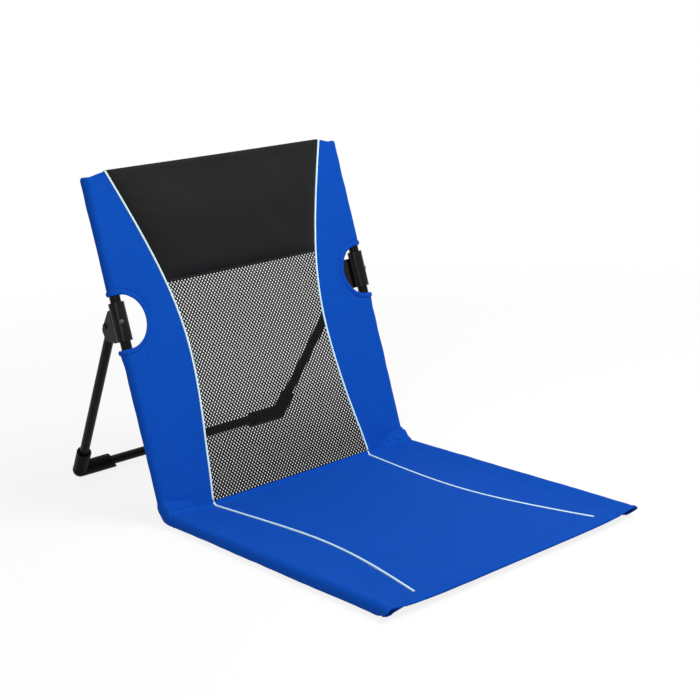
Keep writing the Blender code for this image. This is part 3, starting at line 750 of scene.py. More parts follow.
@dataclass
class SideCover:
    """A blue side strip of the sling, with the sleeve that holds the side tubes of the seat and the back.

    Args:
        side: The side of the chair.
        thickness: Thickness of the cloth.
        hem: Width of the hems.
        hold: Distance from the hinge at which the cloth leaves the tubes.
        tail: How far in from the tube the sleeve is sewn down.
        cut_up: Height of the half-moon's middle along the back.
        cut_half: Half height of the half-moon.
        cut_deep: Depth of the half-moon, in from the tube's axis.
        pitch: Spacing of the rows.
        fine_pitch: Spacing of the rows beside the half-moon.
        moon_steps: Number of steps down the half-moon.
        strip_steps: Number of steps across the strip.
        wrap_steps: Number of steps round the tube.
        tail_steps: Number of steps along the sleeve's tail.
        corner_steps: Number of steps round the corner at the hinge.
        close_steps: Number of steps over the closed top end.
        tuck: Width of the edge that turns under the piping.
        closing: How far the sewn top end stands beyond the tube.
        slack_end: Length over which the sleeve flattens beyond the seat tube.
        cutback: How much shorter the sleeve's underside is at the front.
        sewn: How far outside the tail's tip the sleeve's sewing line runs.
        roll: Height of a hem's roll.
        groove: Depth of the groove along a hem's sewing line.
        bridged: How straight the cloth runs past the hinge's knuckles, from 0 to 1.
        bulge: How far the sleeve stands out sideways at the hinge.
        boxy: How square the sleeve is drawn there; at 1 it stays round.
        crease_high: Height of the folds that bunch up there.
        crease_fine: Height of the finer folds on them.
        bow: How far the strip hollows between its edges.
        tuck_deep: How deep its edge turns under the piping.
        press: How deep the sewing line is pressed in.
        pucker: Height of the puckers beside the piping.
        drape: Height of the strip's slack waves.
        loose: Height of the sleeve's slack waves.
        end_drop: How far the sleeve's top drops at its flattened front end.
        end_rise: How far its underside rises there.
        end_wide: How many times wider it gets there.
        tail_layers: Layers of cloth between the strip's face and the tail's tip.
        flare_low: How far the sleeve's loose end stands off the tube below the half-moon.
        flare_high: How far it stands off above the half-moon.
    """

    side: Side
    thickness: float = 0.0008
    hem: float = 0.0065
    hold: float = 0.013
    tail: float = 0.020
    cut_up: float = 0.230
    cut_half: float = 0.0325
    cut_deep: float = 0.031
    pitch: float = 0.003
    fine_pitch: float = 0.0008
    moon_steps: int = 44
    strip_steps: int = 40
    wrap_steps: int = 20
    tail_steps: int = 6
    corner_steps: int = 24
    close_steps: int = 6
    tuck: float = 0.0028
    closing: float = 0.004
    slack_end: float = 0.018
    cutback: float = 0.007
    sewn: float = 0.0015
    roll: float = 0.0008
    groove: float = 0.0010
    bridged: float = 0.56
    bulge: float = 0.0014
    boxy: float = 0.62
    crease_high: float = 0.0022
    crease_fine: float = 0.0010
    bow: float = 0.0009
    tuck_deep: float = 0.0018
    press: float = 0.00055
    pucker: float = 0.00022
    drape: float = 0.00045
    loose: float = 0.0006
    end_drop: float = 0.0010
    end_rise: float = 0.0034
    end_wide: float = 1.20
    tail_layers: float = 1.6
    flare_low: float = 0.0026
    flare_high: float = 0.0008

    @property
    def tip(self) -> float:
        """Where the sleeve's tail ends, across the chair."""
        return TUBE_X - self.tail

    @property
    def sewing_line(self) -> float:
        """Where the sleeve is sewn down, across the chair."""
        return self.tip + self.sewn

    @property
    def cut_ends(self) -> tuple[float, float]:
        """Lower and upper end of the half-moon, along the back."""
        return self.cut_up - self.cut_half, self.cut_up + self.cut_half

    @property
    def tangent(self) -> float:
        """Angle round the tube at which the sleeve's tail leaves it."""
        way = Vector((-self.tail, FACE_DEPTH + self.thickness - TUBE_DEPTH))
        return math.atan2(way.y, way.x) % (2 * math.pi) - math.acos(SLEEVE_RADIUS / way.length)

    def wrap_angle(self, step: int) -> float:
        """Return the angle round the tube at a step of the sleeve, which starts straight in front of it."""
        return lerp(-math.pi / 2, self.tangent, max(0, step) / self.wrap_steps)

    def edge(self, along: float) -> float:
        """Return where the strip's outer edge lies inside the half-moon."""
        share = (along - self.cut_up) / self.cut_half
        return TUBE_X - self.cut_deep * math.sqrt(max(0.0, 1.0 - share * share))

    def cut_distance(self, across: float, along: float) -> float:
        """Return about how far a point of the back lies from the half-moon's edge.

        Args:
            across: Place across the chair.
            along: Distance along the panel.

        Returns:
            The distance, below 0 inside the half-moon.
        """
        sideways = min(0.0, across - TUBE_X) / self.cut_deep
        upward = (along - self.cut_up) / self.cut_half
        return (math.hypot(sideways, upward) - 1.0) * self.cut_half

    def hem_distance(self, panel: Panel, across: float, along: float) -> float:
        """Return how far a point lies from the half-moon's edge or from the sleeve's front end."""
        return self.cut_distance(across, along) if panel is BACK else SEAT_LENGTH - along

    def hemmed(self, panel: Panel, across: float, along: float) -> float:
        """Return 1 on a hem of the half-moon or of the sleeve's front end, easing to 0 beside it."""
        return 1.0 - smooth(self.hem_distance(panel, across, along), self.hem, self.hem + 0.0012)

    def hem_height(self, panel: Panel, across: float, along: float) -> float:
        """Return the height of a hem's roll, below 0 in the groove of its sewing line.

        Args:
            panel: The panel that it lies on.
            across: Place across the chair.
            along: Distance along the panel.

        Returns:
            The height above the cloth's own face.
        """
        away = self.hem_distance(panel, across, along)
        roll = self.roll * math.sin(math.pi * clamp(away / self.hem))
        return roll - self.groove * bell(away - self.hem, 0.0011)

    def closing_reach(self, across: float) -> float:
        """Return how far the sewn top end stands beyond the last row."""
        return lerp(0.0008, self.closing, smooth(across, self.tip - 0.001, TUBE_X + 0.001))

    def top_line(self, across: float) -> float:
        """Return how high the back's strip reaches before its end closes.

        Args:
            across: Place across the chair.

        Returns:
            The distance along the back.
        """
        dip, corner = TUBE_X - 0.0035, TUBE_X + 0.006
        low = BACK_LENGTH + 0.0050
        slope = lerp(BACK_SEAM.span, low, clamp((across - BACK_SEAM.far) / (dip - BACK_SEAM.far)))
        return slope + 0.0006 * smooth(across, dip, corner) - self.closing_reach(across)

    def strip_depth(self, panel: Panel, across: float, along: float, inner: float, outer: float) -> float:
        """Return the strip's depth: turned under the piping, slack in the middle, pressed in at the sewing line.

        Args:
            panel: The panel that the strip lies on.
            across: Place across the chair.
            along: Distance along the panel.
            inner: Where the strip starts.
            outer: Where it ends.

        Returns:
            The depth behind the hinge axis.
        """
        from_seam = across - inner
        share = from_seam / max(1e-6, outer - inner)
        bowed = self.bow * math.sin(math.pi * share)
        tucked = self.tuck_deep * (1.0 - smooth(from_seam, 0.0, self.tuck))
        pressed = self.press * bell(across - self.sewing_line, 0.0022)
        away = smooth(along, 0.015, 0.05)
        shifted = 4.0 * ripple(across, along, size=0.05, seed=2.0 * self.side.value)
        wave = math.sin(along * 430.0 + shifted)
        puckered = self.pucker * wave * bell(from_seam - 0.007, 0.004) * away
        uneven = self.drape * ripple(across, along * 0.45, size=0.022, seed=self.side.value) * away
        rolled = self.hem_height(panel, across, along)
        near_fold = (1.0 - smooth(along, 0.014, 0.046)) * smooth(across, 0.137, 0.162)
        crumple = 0.0006 + 0.0014 * ripple(across, along * 1.7, size=0.015, seed=31.0 + self.side.value)
        crumpled = near_fold * max(0.0, crumple)
        depth = FACE_DEPTH + bowed + tucked + pressed + puckered + uneven - rolled - crumpled
        return depth + sag_of(panel, across, along)

    def slack(self, panel: Panel, along: float) -> float:
        """Return how much the sleeve has flattened beyond the end of the seat tube, from 0 to 1."""
        return smooth(along, SEAT_LENGTH - self.slack_end, SEAT_LENGTH) if panel is SEAT else 0.0

    def flare(self, panel: Panel, along: float) -> float:
        """Return how far the sleeve's loose ends stand off the tube beside the half-moon.

        Args:
            panel: The panel that it lies on.
            along: Distance along the panel.

        Returns:
            The distance, 0 on the seat.
        """
        if panel is SEAT:
            return 0.0
        low, high = self.cut_ends
        if along <= low:
            return self.flare_low * smooth(along, low - 0.022, low)
        return self.flare_high * (1.0 - smooth(along, high, high + 0.012))

    def section(self, panel: Panel, along: Callable[[float], float]) -> list[Optional[CoverPoint]]:
        """Return the cover's cross-section from the seam to the tail's tip.

        Args:
            panel: The panel that the section lies on.
            along: The distance along the panel, by the place across it.

        Returns:
            One entry for each column, None where the half-moon has taken the sleeve away.
        """
        middle = along(TUBE_X)
        inner = panel.seam.far
        for _ in range(8):
            inner = panel.seam.across(min(along(inner), panel.seam.span))
        opened = panel is BACK and abs(middle - self.cut_up) < self.cut_half - 1e-6
        outer = self.edge(middle) if opened else TUBE_X
        slack, flare = self.slack(panel, middle), self.flare(panel, middle)
        top, low = FACE_DEPTH + self.end_drop * slack, TUBE_DEPTH + SLEEVE_RADIUS - self.end_rise * slack
        entries: list[Optional[CoverPoint]] = []
        shares = [0.0, self.tuck / (outer - inner)]
        shares += [lerp(shares[1], 1.0, i / (self.strip_steps - 1)) for i in range(1, self.strip_steps)]
        for share in shares:
            x = lerp(inner, outer, share)
            z = along(x)
            depth = self.strip_depth(panel, x, z, inner, outer)
            depth += (top - FACE_DEPTH) * smooth(x, self.tip - 0.004, TUBE_X)
            entries.append(CoverPoint(x, depth, z, x, self.hemmed(panel, x, z)))
        if opened:
            return entries + [None] * (self.wrap_steps + self.tail_steps)
        hem = self.hemmed(panel, TUBE_X, middle)
        loose = self.loose * smooth(middle, 0.02, 0.06)
        lift = max(-0.0004, self.hem_height(panel, TUBE_X, middle))
        short = self.cutback * smooth(middle, SEAT_LENGTH - 0.05, SEAT_LENGTH) if panel is SEAT else 0.0
        for i in range(1, self.wrap_steps + 1):
            angle = self.wrap_angle(i)
            turned = smooth(i, 0, 4)
            wave = loose * ripple(angle * 0.012, middle, size=0.022, seed=5.0 * self.side.value)
            radius = SLEEVE_RADIUS + (0.0003 * hem + lift + wave) * turned
            out = lerp(1.0, self.end_wide, slack) + flare / SLEEVE_RADIUS * smooth(angle, -1.4, -0.2)
            x = TUBE_X + radius * math.cos(angle) * (out if math.cos(angle) > 0 else 1.0)
            depth = (top + low) / 2 + (low - top) / 2 * radius / SLEEVE_RADIUS * math.sin(angle)
            z = along(x) - short * smooth(angle, -0.5, 1.2)
            girth = TUBE_X + SLEEVE_RADIUS * (angle + math.pi / 2)
            entries.append(CoverPoint(x, min(depth, low), z, girth, hem))
        start, tip = entries[-1], self.tip
        tip_along = along(tip)
        tip_depth = self.strip_depth(panel, tip, tip_along, inner, outer) + self.tail_layers * self.thickness
        length = math.hypot(tip - start.across, tip_depth - start.depth)
        for i in range(1, self.tail_steps + 1):
            share = i / self.tail_steps
            z = lerp(start.along, tip_along - 0.3 * short, share)
            x, depth = lerp(start.across, tip, share), lerp(start.depth, tip_depth, share)
            entries.append(CoverPoint(x, depth, z, start.girth + length * share, hem))
        return entries

    def row(self, panel: Panel, along: Callable[[float], float]) -> Row:
        """Return a row of points across a panel.

        Args:
            panel: The panel that it lies on.
            along: The distance along the panel, by the place across it.

        Returns:
            One point for each column.
        """
        points: Row = []
        for entry in self.section(panel, along):
            if entry is None:
                points.append(None)
                continue
            x, depth, z, girth, hem = entry
            points.append(ClothPoint(panel.at(self.side.value * x, z, depth), (girth, panel.sign * z), hem))
        return points

    def closing_rows(self) -> list[Row]:
        """Return the rows that draw the sleeve's top end together beyond the tube's plug.

        Returns:
            The rows, from below.
        """
        section = self.section(BACK, self.top_line)
        rows = []
        for k in range(1, self.close_steps + 1):
            angle = math.pi / 2 * k / self.close_steps
            row: Row = []
            for x, depth, z, girth, hem in section:
                rise = smooth(x, self.tip - 0.001, TUBE_X + 0.001)
                middle = lerp(FACE_DEPTH + self.thickness, TUBE_DEPTH, rise)
                new_x = TUBE_X + (x - TUBE_X) * (1.0 - 0.3 * (1.0 - math.cos(angle))) if x > TUBE_X else x
                new_z = z + self.closing_reach(x) * math.sin(angle)
                place = BACK.at(self.side.value * new_x, new_z, lerp(middle, depth, math.cos(angle)))
                row.append(ClothPoint(place, (girth, new_z), hem))
            rows.append(row)
        return rows

    def corner_rows(self) -> list[Row]:
        """Return the rows between the seat and the back, which bridge the hinge's knuckles.

        Returns:
            The rows, from the seat to the back.
        """
        seat = self.section(SEAT, lambda x: self.hold)
        back = self.section(BACK, lambda x: self.hold)
        fold, seam = SEAT_SEAM.fold, seat[0].across
        columns = []
        for j, (low, high) in enumerate(zip(seat, back)):
            x = (low.across + high.across) / 2
            near = smooth(x, TUBE_X - 0.036, TUBE_X - 0.010) if j <= self.strip_steps else 1.0
            angle = self.wrap_angle(j - self.strip_steps)
            bridge = self.bridged * near * (1.0 - smooth(angle, -1.2, 0.1))
            depths, ends = (low.depth, high.depth), (self.hold, self.hold)
            columns.append(corner_path(depths, ends, lerp(FOLD_SETBACK, 1.0, near), bridge, self.corner_steps))
        rows = []
        for i in range(1, self.corner_steps):
            share = i / self.corner_steps
            middle = 1.0 - abs(2.0 * share - 1.0)
            row: Row = []
            for j, path in enumerate(columns):
                low, high = seat[j], back[j]
                x = lerp(low.across, high.across, share)
                if j <= self.strip_steps:
                    inward = 1.0 - (low.across - seam) / (TUBE_X - seam)
                    x += (fold - seam) * middle * inward
                if x > TUBE_X:
                    boxy = (x - TUBE_X) ** self.boxy * SLEEVE_RADIUS ** (1.0 - self.boxy)
                    x = TUBE_X + lerp(x - TUBE_X, boxy, smooth(middle, 0.0, 0.5))
                    x += self.bulge * smooth(middle, 0.0, 0.8)
                girth = low.girth
                along = lerp(-self.hold, self.hold, share)
                bunched = self.crease(girth, along) * smooth(middle, 0.0, 0.35) * smooth(girth, 0.140, 0.168)
                angle = self.wrap_angle(j - self.strip_steps)
                offset = path[i] + path[i].normalized() * (bunched * max(0.0, -math.sin(angle)))
                x += 0.5 * bunched * max(0.0, math.cos(angle))
                place = HINGE + offset + Vector((self.side.value * x, 0.0, 0.0))
                row.append(ClothPoint(place, (girth, along), 0.0))
            rows.append(row)
        return rows

    def crease(self, girth: float, along: float) -> float:
        """Return the height of the small folds that bunch up over the hinge, never below the cloth's own line."""
        folds = abs(math.sin(along * 400.0 + 5.0 * ripple(girth, along, size=0.028, seed=3.0 + self.side.value)))
        return max(0.0002, self.crease_high * folds + self.crease_fine * ripple(girth, along, size=0.011, seed=7.0))

    def stitch_runs(self, panel: Panel) -> list[list[tuple[Vector, Vector]]]:
        """Return the sewing lines on a panel, as runs of points with the directions they face.

        Args:
            panel: The panel that it lies on.

        Returns:
            The runs.
        """
        facing = -panel.behind
        sign = self.side.value

        def on_strip(x: float, z: float) -> tuple[Vector, Vector]:
            """Return a point of the strip's face."""
            inner = panel.seam.across(min(z, panel.seam.span))
            return panel.at(sign * x, z, self.strip_depth(panel, x, z, inner, TUBE_X)), facing

        line, start = self.sewing_line, 0.017
        if panel is SEAT:
            return [[on_strip(line, z) for z in spread(start, SEAT_LENGTH - 0.008, STITCH_STEP)]]
        inset = self.hem - 0.0014
        low, high = self.cut_ends[0] - inset, self.cut_ends[1] + inset
        runs = [[on_strip(line, z) for z in spread(first, last, STITCH_STEP)]
                for first, last in ((start, low - 0.003), (high + 0.003, BACK_LENGTH - 0.006))]
        moon = []
        for turn in spread(0.0, math.pi, 0.06):
            x = TUBE_X - (self.cut_deep + inset) * math.sin(turn)
            moon.append(on_strip(x, self.cut_up - (self.cut_half + inset) * math.cos(turn)))
        runs.append(moon)
        for z in (low, high):
            flare = self.flare(BACK, z)
            cuff = []
            for angle in spread(-math.pi / 2, 1.6, 0.15):
                out = Vector((sign * math.cos(angle), 0.0, 0.0)) + BACK.behind * math.sin(angle)
                radius = SLEEVE_RADIUS + 0.0006 + flare * max(0.0, math.cos(angle))
                cuff.append((BACK.at(sign * TUBE_X, z, TUBE_DEPTH) + out * radius, out))
            runs.append(cuff)
        return runs

    def build(self) -> bpy.types.Object:
        """Return the cover as one sheet that crosses the hinge.

        Returns:
            The cover.
        """
        low, high = self.cut_ends
        near = self.hem + 0.004
        rows = [self.row(SEAT, lambda x, s=s: s) for s in spread(SEAT_LENGTH, self.hold, self.pitch)]
        rows += self.corner_rows()
        lower = [*spread(self.hold, low - near, self.pitch), *spread(low - near, low, self.fine_pitch)[1:]]
        turns = [math.pi * i / self.moon_steps for i in range(1, self.moon_steps)]
        lower += [self.cut_up - self.cut_half * math.cos(turn) for turn in turns]
        rows += [self.row(BACK, lambda x, t=t: t) for t in lower]
        length = BACK_LENGTH - high
        upper = spread(0.0, near / length, self.fine_pitch / length)
        upper += spread(near / length, 1.0, self.pitch / length)[1:]
        rows += [self.row(BACK, lambda x, s=s: lerp(high, self.top_line(x), s)) for s in upper]
        rows += self.closing_rows()
        word = self.side.word
        sheet = Sheet(f"side_cover_{word}", self.thickness, rows, self.side is Side.LEFT)
        obj = sheet.build(BLUE_CLOTH)
        cross_hinge(obj)
        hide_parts(f"back_side_panel_{word}", f"seat_side_panel_{word}")
        sheet.flat_size()
        sheet.flat_area()
        return obj


# A stitch's rings, each with its place along the stitch and its width, as shares of the length and the radius.
STITCH_PROFILE = ((-0.5, 0.3), (-0.36, 0.82), (0.0, 1.0), (0.36, 0.82), (0.5, 0.3))


@dataclass
class Stitching:
    """Rows of sewing thread that lie on the cloth.

    Args:
        name: Name of the piece.
        panel: The panel that carries the thread.
        finish: The thread's finish.
        length: Length of a stitch.
        pitch: Distance from one stitch to the next.
        radius: Half the width of the thread.
        lift: How far the thread's axis stands off the cloth.
        dive: How steeply the ends of a stitch dive into the cloth.
        sides: Number of sides of the thread.
    """

    name: str
    panel: Panel
    finish: CordFinish
    length: float = 0.0026
    pitch: float = 0.0034
    radius: float = 0.00034
    lift: float = 0.00006
    dive: float = 0.0009
    sides: int = 6

    def steps(self, run: Sequence[tuple[Vector, Vector]]) -> Iterable[tuple[Vector, Vector, Vector]]:
        """Walk along a run and give each stitch's middle, direction and facing.

        Args:
            run: A line of points with the directions that they face.

        Returns:
            The stitches in order.
        """
        rest = self.pitch / 2
        for (first, facing), (last, _) in zip(run, run[1:]):
            way = last - first
            length = way.length
            if length < 1e-7:
                continue
            while rest <= length:
                yield first + way * (rest / length), way.normalized(), facing
                rest += self.pitch
            rest -= length

    def build(self, runs: Iterable[Sequence[tuple[Vector, Vector]]]) -> bpy.types.Object:
        """Return all the stitches of a panel as one piece.

        Args:
            runs: Lines of points with the directions that they face.

        Returns:
            The thread.
        """
        spots: list[Vector] = []
        faces: list[list[int]] = []
        sides = self.sides
        for run in runs:
            for middle, way, facing in self.steps(run):
                beside = way.cross(facing).normalized()
                base = len(spots)
                last = base + (len(STITCH_PROFILE) - 1) * sides
                for share, wide in STITCH_PROFILE:
                    sink = self.lift - self.dive * share * share
                    centre = middle + way * (share * self.length) + facing * sink
                    spots += ring(centre, beside, facing, self.radius * wide, sides)
                for here in range(base, last, sides):
                    there = here + sides
                    for j in range(sides):
                        k = (j + 1) % sides
                        faces.append([here + j, there + j, there + k, here + k])
                faces.append([base + j for j in range(sides)])
                faces.append([last + j for j in reversed(range(sides))])
        obj = new_piece(self.name, spots, faces)
        dress(obj, self.finish)
        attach(obj, self.panel.body)
        return obj


@dataclass
class SeatSling:
    """The blue centre panel of the seat, with the hem turned over its front edge.

    Args:
        thickness: Thickness of the cloth.
        flap: How far the rear edge climbs over the foot of the net.
        bend: Distance from the hinge at which the panel starts to turn up.
        hem: Width of the front hem.
        hem_half: Half length of the front hem.
        pitch: Spacing of the rows and columns.
        turn_steps: Number of steps round the turn at the fold.
        drape: Height of the panel's slack waves.
        tuck_deep: How deep its side edges turn under the piping.
        proud: How far the hem's upper layer stands above the panel's face.
        under: How far its lower layer lies below that face.
        waver: How far the hem's line wavers.
    """

    thickness: float = 0.0008
    flap: float = 0.0058
    bend: float = 0.013
    hem: float = 0.018
    hem_half: float = 0.1655
    pitch: float = 0.005
    turn_steps: int = 12
    drape: float = 0.0005
    tuck_deep: float = 0.0018
    proud: float = 0.0005
    under: float = 0.0021
    waver: float = 0.0004

    def depth(self, share: float, across: float, along: float) -> float:
        """Return the panel's depth: it sags, has slack waves and turns under the piping.

        Args:
            share: Place across the panel, as a share of its half width.
            across: Place across the chair.
            along: Distance along the seat.

        Returns:
            The depth behind the hinge axis.
        """
        away = smooth(along, 0.012, 0.05)
        wave = self.drape * ripple(across, along, size=0.045, seed=11.0) * away * (1.0 - share**8)
        return FACE_DEPTH + seat_sag(across, along) + wave + self.tuck_deep * smooth(abs(share), 0.978, 1.0)

    def shares(self) -> list[float]:
        """Return the columns as shares of the half width, close together at the tucked edges."""
        inner = spread(-0.975, 0.975, self.pitch / SEAT_SEAM.fold)
        return [-1.0, -0.992, -0.984, *inner, 0.984, 0.992, 1.0]

    def rear_rows(self) -> list[Row]:
        """Return the rows that turn up at the fold, in front of the net.

        Returns:
            The rows, from the top of the flap.
        """
        columns = []
        for share in self.shares():
            x = share * SEAT_SEAM.across(self.bend)
            depths = (self.depth(share, x, self.bend), FACE_DEPTH + back_lead(x, 0.0) - 0.0004)
            ends = (self.bend, fold_at(*depths)[1] + self.flap)
            columns.append((x, corner_path(depths, ends, FOLD_SETBACK, 0.0, self.turn_steps)))
        rows = []
        for i in range(self.turn_steps, 0, -1):
            run = i / self.turn_steps * (self.bend + self.flap)
            rows.append([ClothPoint(HINGE + path[i] + Vector((x, 0.0, 0.0)), (x, run - self.bend))
                         for x, path in columns])
        return rows

    def build(self) -> bpy.types.Object:
        """Return the panel as a sheet from the flap over the net to under the front hem.

        Returns:
            The panel.
        """
        rows = self.rear_rows()
        for along in spread(self.bend, SEAT_LENGTH - self.hem + 0.006, self.pitch):
            half = SEAT_SEAM.across(min(along, SEAT_SEAM.span))
            row: Row = []
            for share in self.shares():
                x = share * half
                row.append(ClothPoint(SEAT.at(x, along, self.depth(share, x, along)), (x, -along)))
            rows.append(row)
        sheet = Sheet("seat_sling", self.thickness, rows)
        obj = sheet.build(BLUE_CLOTH)
        cross_hinge(obj)
        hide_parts("seat_panel")
        sheet.flat_size()
        sheet.flat_area()
        return obj

    def stitch_run(self) -> list[tuple[Vector, Vector]]:
        """Return the sewing line of the front hem.

        Returns:
            Points with the directions that they face.
        """
        along, depth = SEAT_LENGTH - self.hem + 0.0022, FACE_DEPTH - self.proud
        across = spread(-self.hem_half + 0.002, self.hem_half - 0.002, STITCH_STEP)
        return [(SEAT.at(x, along, depth + seat_sag(x, along)), -SEAT.behind) for x in across]

    def build_hem(self) -> bpy.types.Object:
        """Return the hem that is turned over the front edge and covers the ends of the piping.

        Returns:
            The hem.
        """
        top, under, front = FACE_DEPTH - self.proud, FACE_DEPTH + self.under, SEAT_LENGTH
        middle, radius = (top + under) / 2, (under - top) / 2
        path = [(front - self.hem, FACE_DEPTH - 0.0002)]
        path += [(along, top) for along in spread(front - self.hem + 0.001, front - radius, 0.004)]
        turns = [math.pi * i / 6 for i in range(1, 6)]
        path += [(front - radius + radius * math.sin(a), middle - radius * math.cos(a)) for a in turns]
        path += [(along, under) for along in spread(front - radius, front - self.hem + 0.003, 0.004)]
        lengths = [0.0]
        for first, last in zip(path, path[1:]):
            lengths.append(lengths[-1] + math.dist(first, last))
        rows: list[Row] = []
        for (along, depth), run in zip(path, lengths):
            row: Row = []
            for x in spread(-self.hem_half, self.hem_half, self.pitch):
                wave = self.waver * ripple(x, along * 0.4, size=0.03, seed=17.0)
                end = smooth(abs(x), self.hem_half - 0.020, self.hem_half)
                inward = (0.0026 if depth < middle else 0.0004) * end
                low = depth + inward + seat_sag(x, along)
                row.append(ClothPoint(SEAT.at(x, along + wave, low), (x, -run)))
            rows.append(row)
        sheet = Sheet("seat_front_hem", self.thickness, rows)
        obj = sheet.build(BLUE_CLOTH)
        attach(obj, SEAT.body)
        sheet.flat_size()
        sheet.flat_area()
        return obj


@dataclass
class HeadPanel:
    """The black head panel, with a hem along its lower edge and its top edge turned to the rear.

    Args:
        thickness: Thickness of the two layers of cloth.
        dip: How far the top edge dips in the middle.
        band: Height of the part that rolls in to the hem.
        proud: How far the panel stands in front of the net.
        lip: Height of the flat lower edge.
        lap: How far the panel reaches over the net.
        turned: How far the top edge is turned down behind.
        fold: Radius of the turned edge.
        fold_steps: Number of steps round it.
        clear: How far the panel's sides stay inside the seams.
        flap_clear: How far the sides of the turned edge stay inside them.
        drape: Height of the panel's slanting slack folds.
        pucker: Height of the puckers beside the piping.
        tuck_deep: How deep its side edges turn under the piping.
        pitch: Spacing of the rows and columns.
    """

    thickness: float = 0.0012
    dip: float = 0.0005
    band: float = 0.0140
    proud: float = 0.0060
    lip: float = 0.0022
    lap: float = 0.0015
    turned: float = 0.012
    fold: float = 0.0011
    fold_steps: int = 5
    clear: float = 0.0002
    flap_clear: float = 0.0018
    drape: float = 0.0011
    pucker: float = 0.0006
    tuck_deep: float = 0.0014
    pitch: float = 0.006

    def shares(self) -> list[float]:
        """Return the columns as shares of the half width."""
        return [-1.0, -0.99, *spread(-0.975, 0.975, self.pitch / BACK_SEAM.fold), 0.99, 1.0]

    def depth(self, share: float, along: float) -> float:
        """Return the panel's depth: it stands proud of the net, rolls in to its hem and has slack folds.

        Args:
            share: Place across the panel, as a share of its half width.
            along: Distance along the back.

        Returns:
            The depth behind the hinge axis.
        """
        up = clamp((along - HEAD_SEAM) / (BACK_SEAM.span - HEAD_SEAM))
        roll = clamp((along - HEAD_SEAM - self.lip) / self.band)
        proud = self.proud * math.sin(math.pi / 2 * roll) ** 0.8 * (1.0 - 0.7 * smooth(up, 0.45, 1.0))
        wide = 1.0 - abs(share) ** 9
        slant = ripple(share * 0.5 + up * 0.35, up * 0.12 - share * 0.1, size=0.16, seed=23.0)
        beside = bell(1.0 - abs(share), 0.16) * math.sin(42.0 * up + 9.0 * share)
        shown = smooth(up, 0.08, 0.25) * (1.0 - smooth(up, 0.9, 1.0))
        folds = (self.drape * slant + self.pucker * beside) * wide * shown
        edge = self.tuck_deep * smooth(abs(share), 0.975, 1.0)
        return FACE_DEPTH - proud * wide + folds + edge

    def stitch_run(self) -> list[tuple[Vector, Vector]]:
        """Return the sewing line along the lower edge.

        Returns:
            Points with the directions that they face.
        """
        half = BACK_SEAM.across(HEAD_SEAM) - 0.002
        along = HEAD_SEAM + 0.0004
        spots = [BACK.at(x, along, self.depth(x / half, along)) for x in spread(-half, half, STITCH_STEP)]
        return [(spot, -BACK.behind) for spot in spots]

    def top(self, share: float) -> float:
        """Return the height of the top edge at a share of the half width."""
        return BACK_SEAM.span - self.dip * (1.0 - share * share)

    def build(self) -> bpy.types.Object:
        """Return the panel as a sheet with its top edge turned over.

        Returns:
            The panel.
        """
        start = HEAD_SEAM - self.lap
        climb = [*spread(0.0, 0.10, 0.0075), *spread(0.10, 1.0, self.pitch / (BACK_SEAM.span - start))[1:]]
        rows: list[Row] = []
        for up in climb:
            row: Row = []
            for share in self.shares():
                along = lerp(start, self.top(share), up)
                half = BACK_SEAM.across(min(along, BACK_SEAM.span)) - self.clear
                row.append(ClothPoint(BACK.at(share * half, along, self.depth(share, along)), (share * half, along)))
            rows.append(row)
        turns = [math.pi * i / self.fold_steps for i in range(1, self.fold_steps + 1)]
        for turn, down in [*((turn, 0.0) for turn in turns), (math.pi, self.turned)]:
            row = []
            for share in self.shares():
                top = self.top(share)
                along = top + self.fold * math.sin(turn) - down
                depth = self.depth(share, top) + self.fold * (1.0 - math.cos(turn))
                half = BACK_SEAM.across(top - down) - self.flap_clear if down else BACK_SEAM.far - self.clear
                run = top + self.fold * turn + down
                row.append(ClothPoint(BACK.at(share * half, along, depth), (share * half, run)))
            rows.append(row)
        sheet = Sheet("head_cover", self.thickness, rows)
        obj = sheet.build(BLACK_CLOTH)
        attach(obj, BACK.body)
        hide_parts("head_panel")
        sheet.flat_size()
        sheet.flat_area()
        return obj


